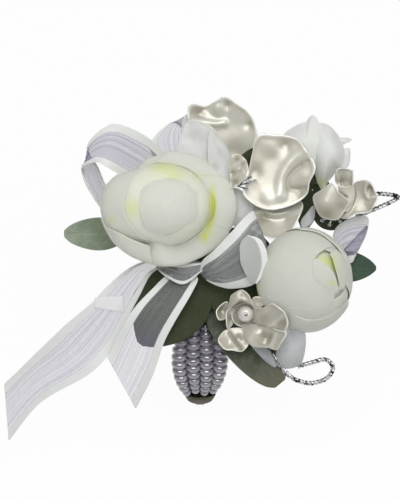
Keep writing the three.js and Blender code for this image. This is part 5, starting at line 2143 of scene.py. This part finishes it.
def rounded_block(name, size, middle_z, edge):
    bpy.ops.object.select_all(action="DESELECT")
    bpy.ops.mesh.primitive_cube_add(size=1, location=(0, 0, middle_z * MM))
    block = bpy.context.object
    block.name = name
    block.scale = [s * MM for s in size]
    bpy.ops.object.transform_apply(location=True, rotation=True, scale=True)
    bpy.ops.object.mode_set(mode="EDIT")
    bpy.ops.mesh.select_mode(type="EDGE")
    bpy.ops.mesh.select_all(action="DESELECT")
    bpy.ops.object.mode_set(mode="OBJECT")
    for line in block.data.edges:
        a, b = (block.data.vertices[k].co for k in line.vertices)
        line.select = abs(a.z - b.z) > 0.5 * size[2] * MM
    bpy.ops.object.mode_set(mode="EDIT")
    bpy.ops.mesh.bevel(offset=CORNER * MM, segments=CORNER_STEPS, affect="EDGES")
    bpy.ops.object.mode_set(mode="OBJECT")
    apply_modifier(
        block, "BEVEL", width=edge * MM, segments=EDGE_STEPS, limit_method="ANGLE",
        angle_limit=math.radians(SHARP_DEG),
    )
    bpy.ops.object.shade_smooth_by_angle(angle=math.radians(SMOOTH_DEG))
    return block

# %% Base plate
PLATE_SIZE = (23, 25, 1.2)
PLATE_EDGE = 0.25
HOLE_RADIUS = 1.05
HOLE_SIDES = 20
DRILL_LENGTH = 6
PLATE_POLISH = 0.4
PLATE_RUBBED_ENDS = (10.6, 11.4)


def plate_polish(point):
    return PLATE_POLISH * rise(abs(point.x) / MM, *PLATE_RUBBED_ENDS)


plate = rounded_block("gold_plate", PLATE_SIZE, PLATE_BOTTOM + PLATE_SIZE[2] / 2, PLATE_EDGE)
drills = []
for reach in (-HOLE_REACH, HOLE_REACH):
    for index in range(STRAND_COUNT):
        x = (index - (STRAND_COUNT - 1) / 2) * (END_BEAD_DIAMETER + STRAND_SIDE_GAP)
        spot = (x * MM, reach * MM, PLATE_BOTTOM * MM)
        bpy.ops.mesh.primitive_cylinder_add(
            vertices=HOLE_SIDES, radius=HOLE_RADIUS * MM, depth=DRILL_LENGTH * MM, location=spot,
        )
        drills.append(bpy.context.object)
drill = join("plate_drill", drills)
apply_modifier(plate, "BOOLEAN", operation="DIFFERENCE", object=drill, solver="EXACT")
bpy.data.objects.remove(drill)
plate.data.materials.append(antique_gold)
paint(plate, "polish_and_highlight", plate_polish)
seat(plate, ["base_plate"])
print("plate with", len(drills), "holes")

# %% Felt pad
PAD_SIZE = (21, 17, 1.0)
PAD_EDGE = 0.3
PAD_GAP = 0.3
pad = rounded_block("felt_cushion", PAD_SIZE, PLATE_BOTTOM - PAD_GAP - PAD_SIZE[2] / 2, PAD_EDGE)
pad.data.materials.append(felt)
seat(pad, ["felt_pad"])
print("pad", PAD_SIZE, "mm")

# %% [markdown]
# ## Bringing the scene up to date
# The view layer is brought up to date at the end.

# %% Bring the view layer up to date
bpy.context.view_layer.update()
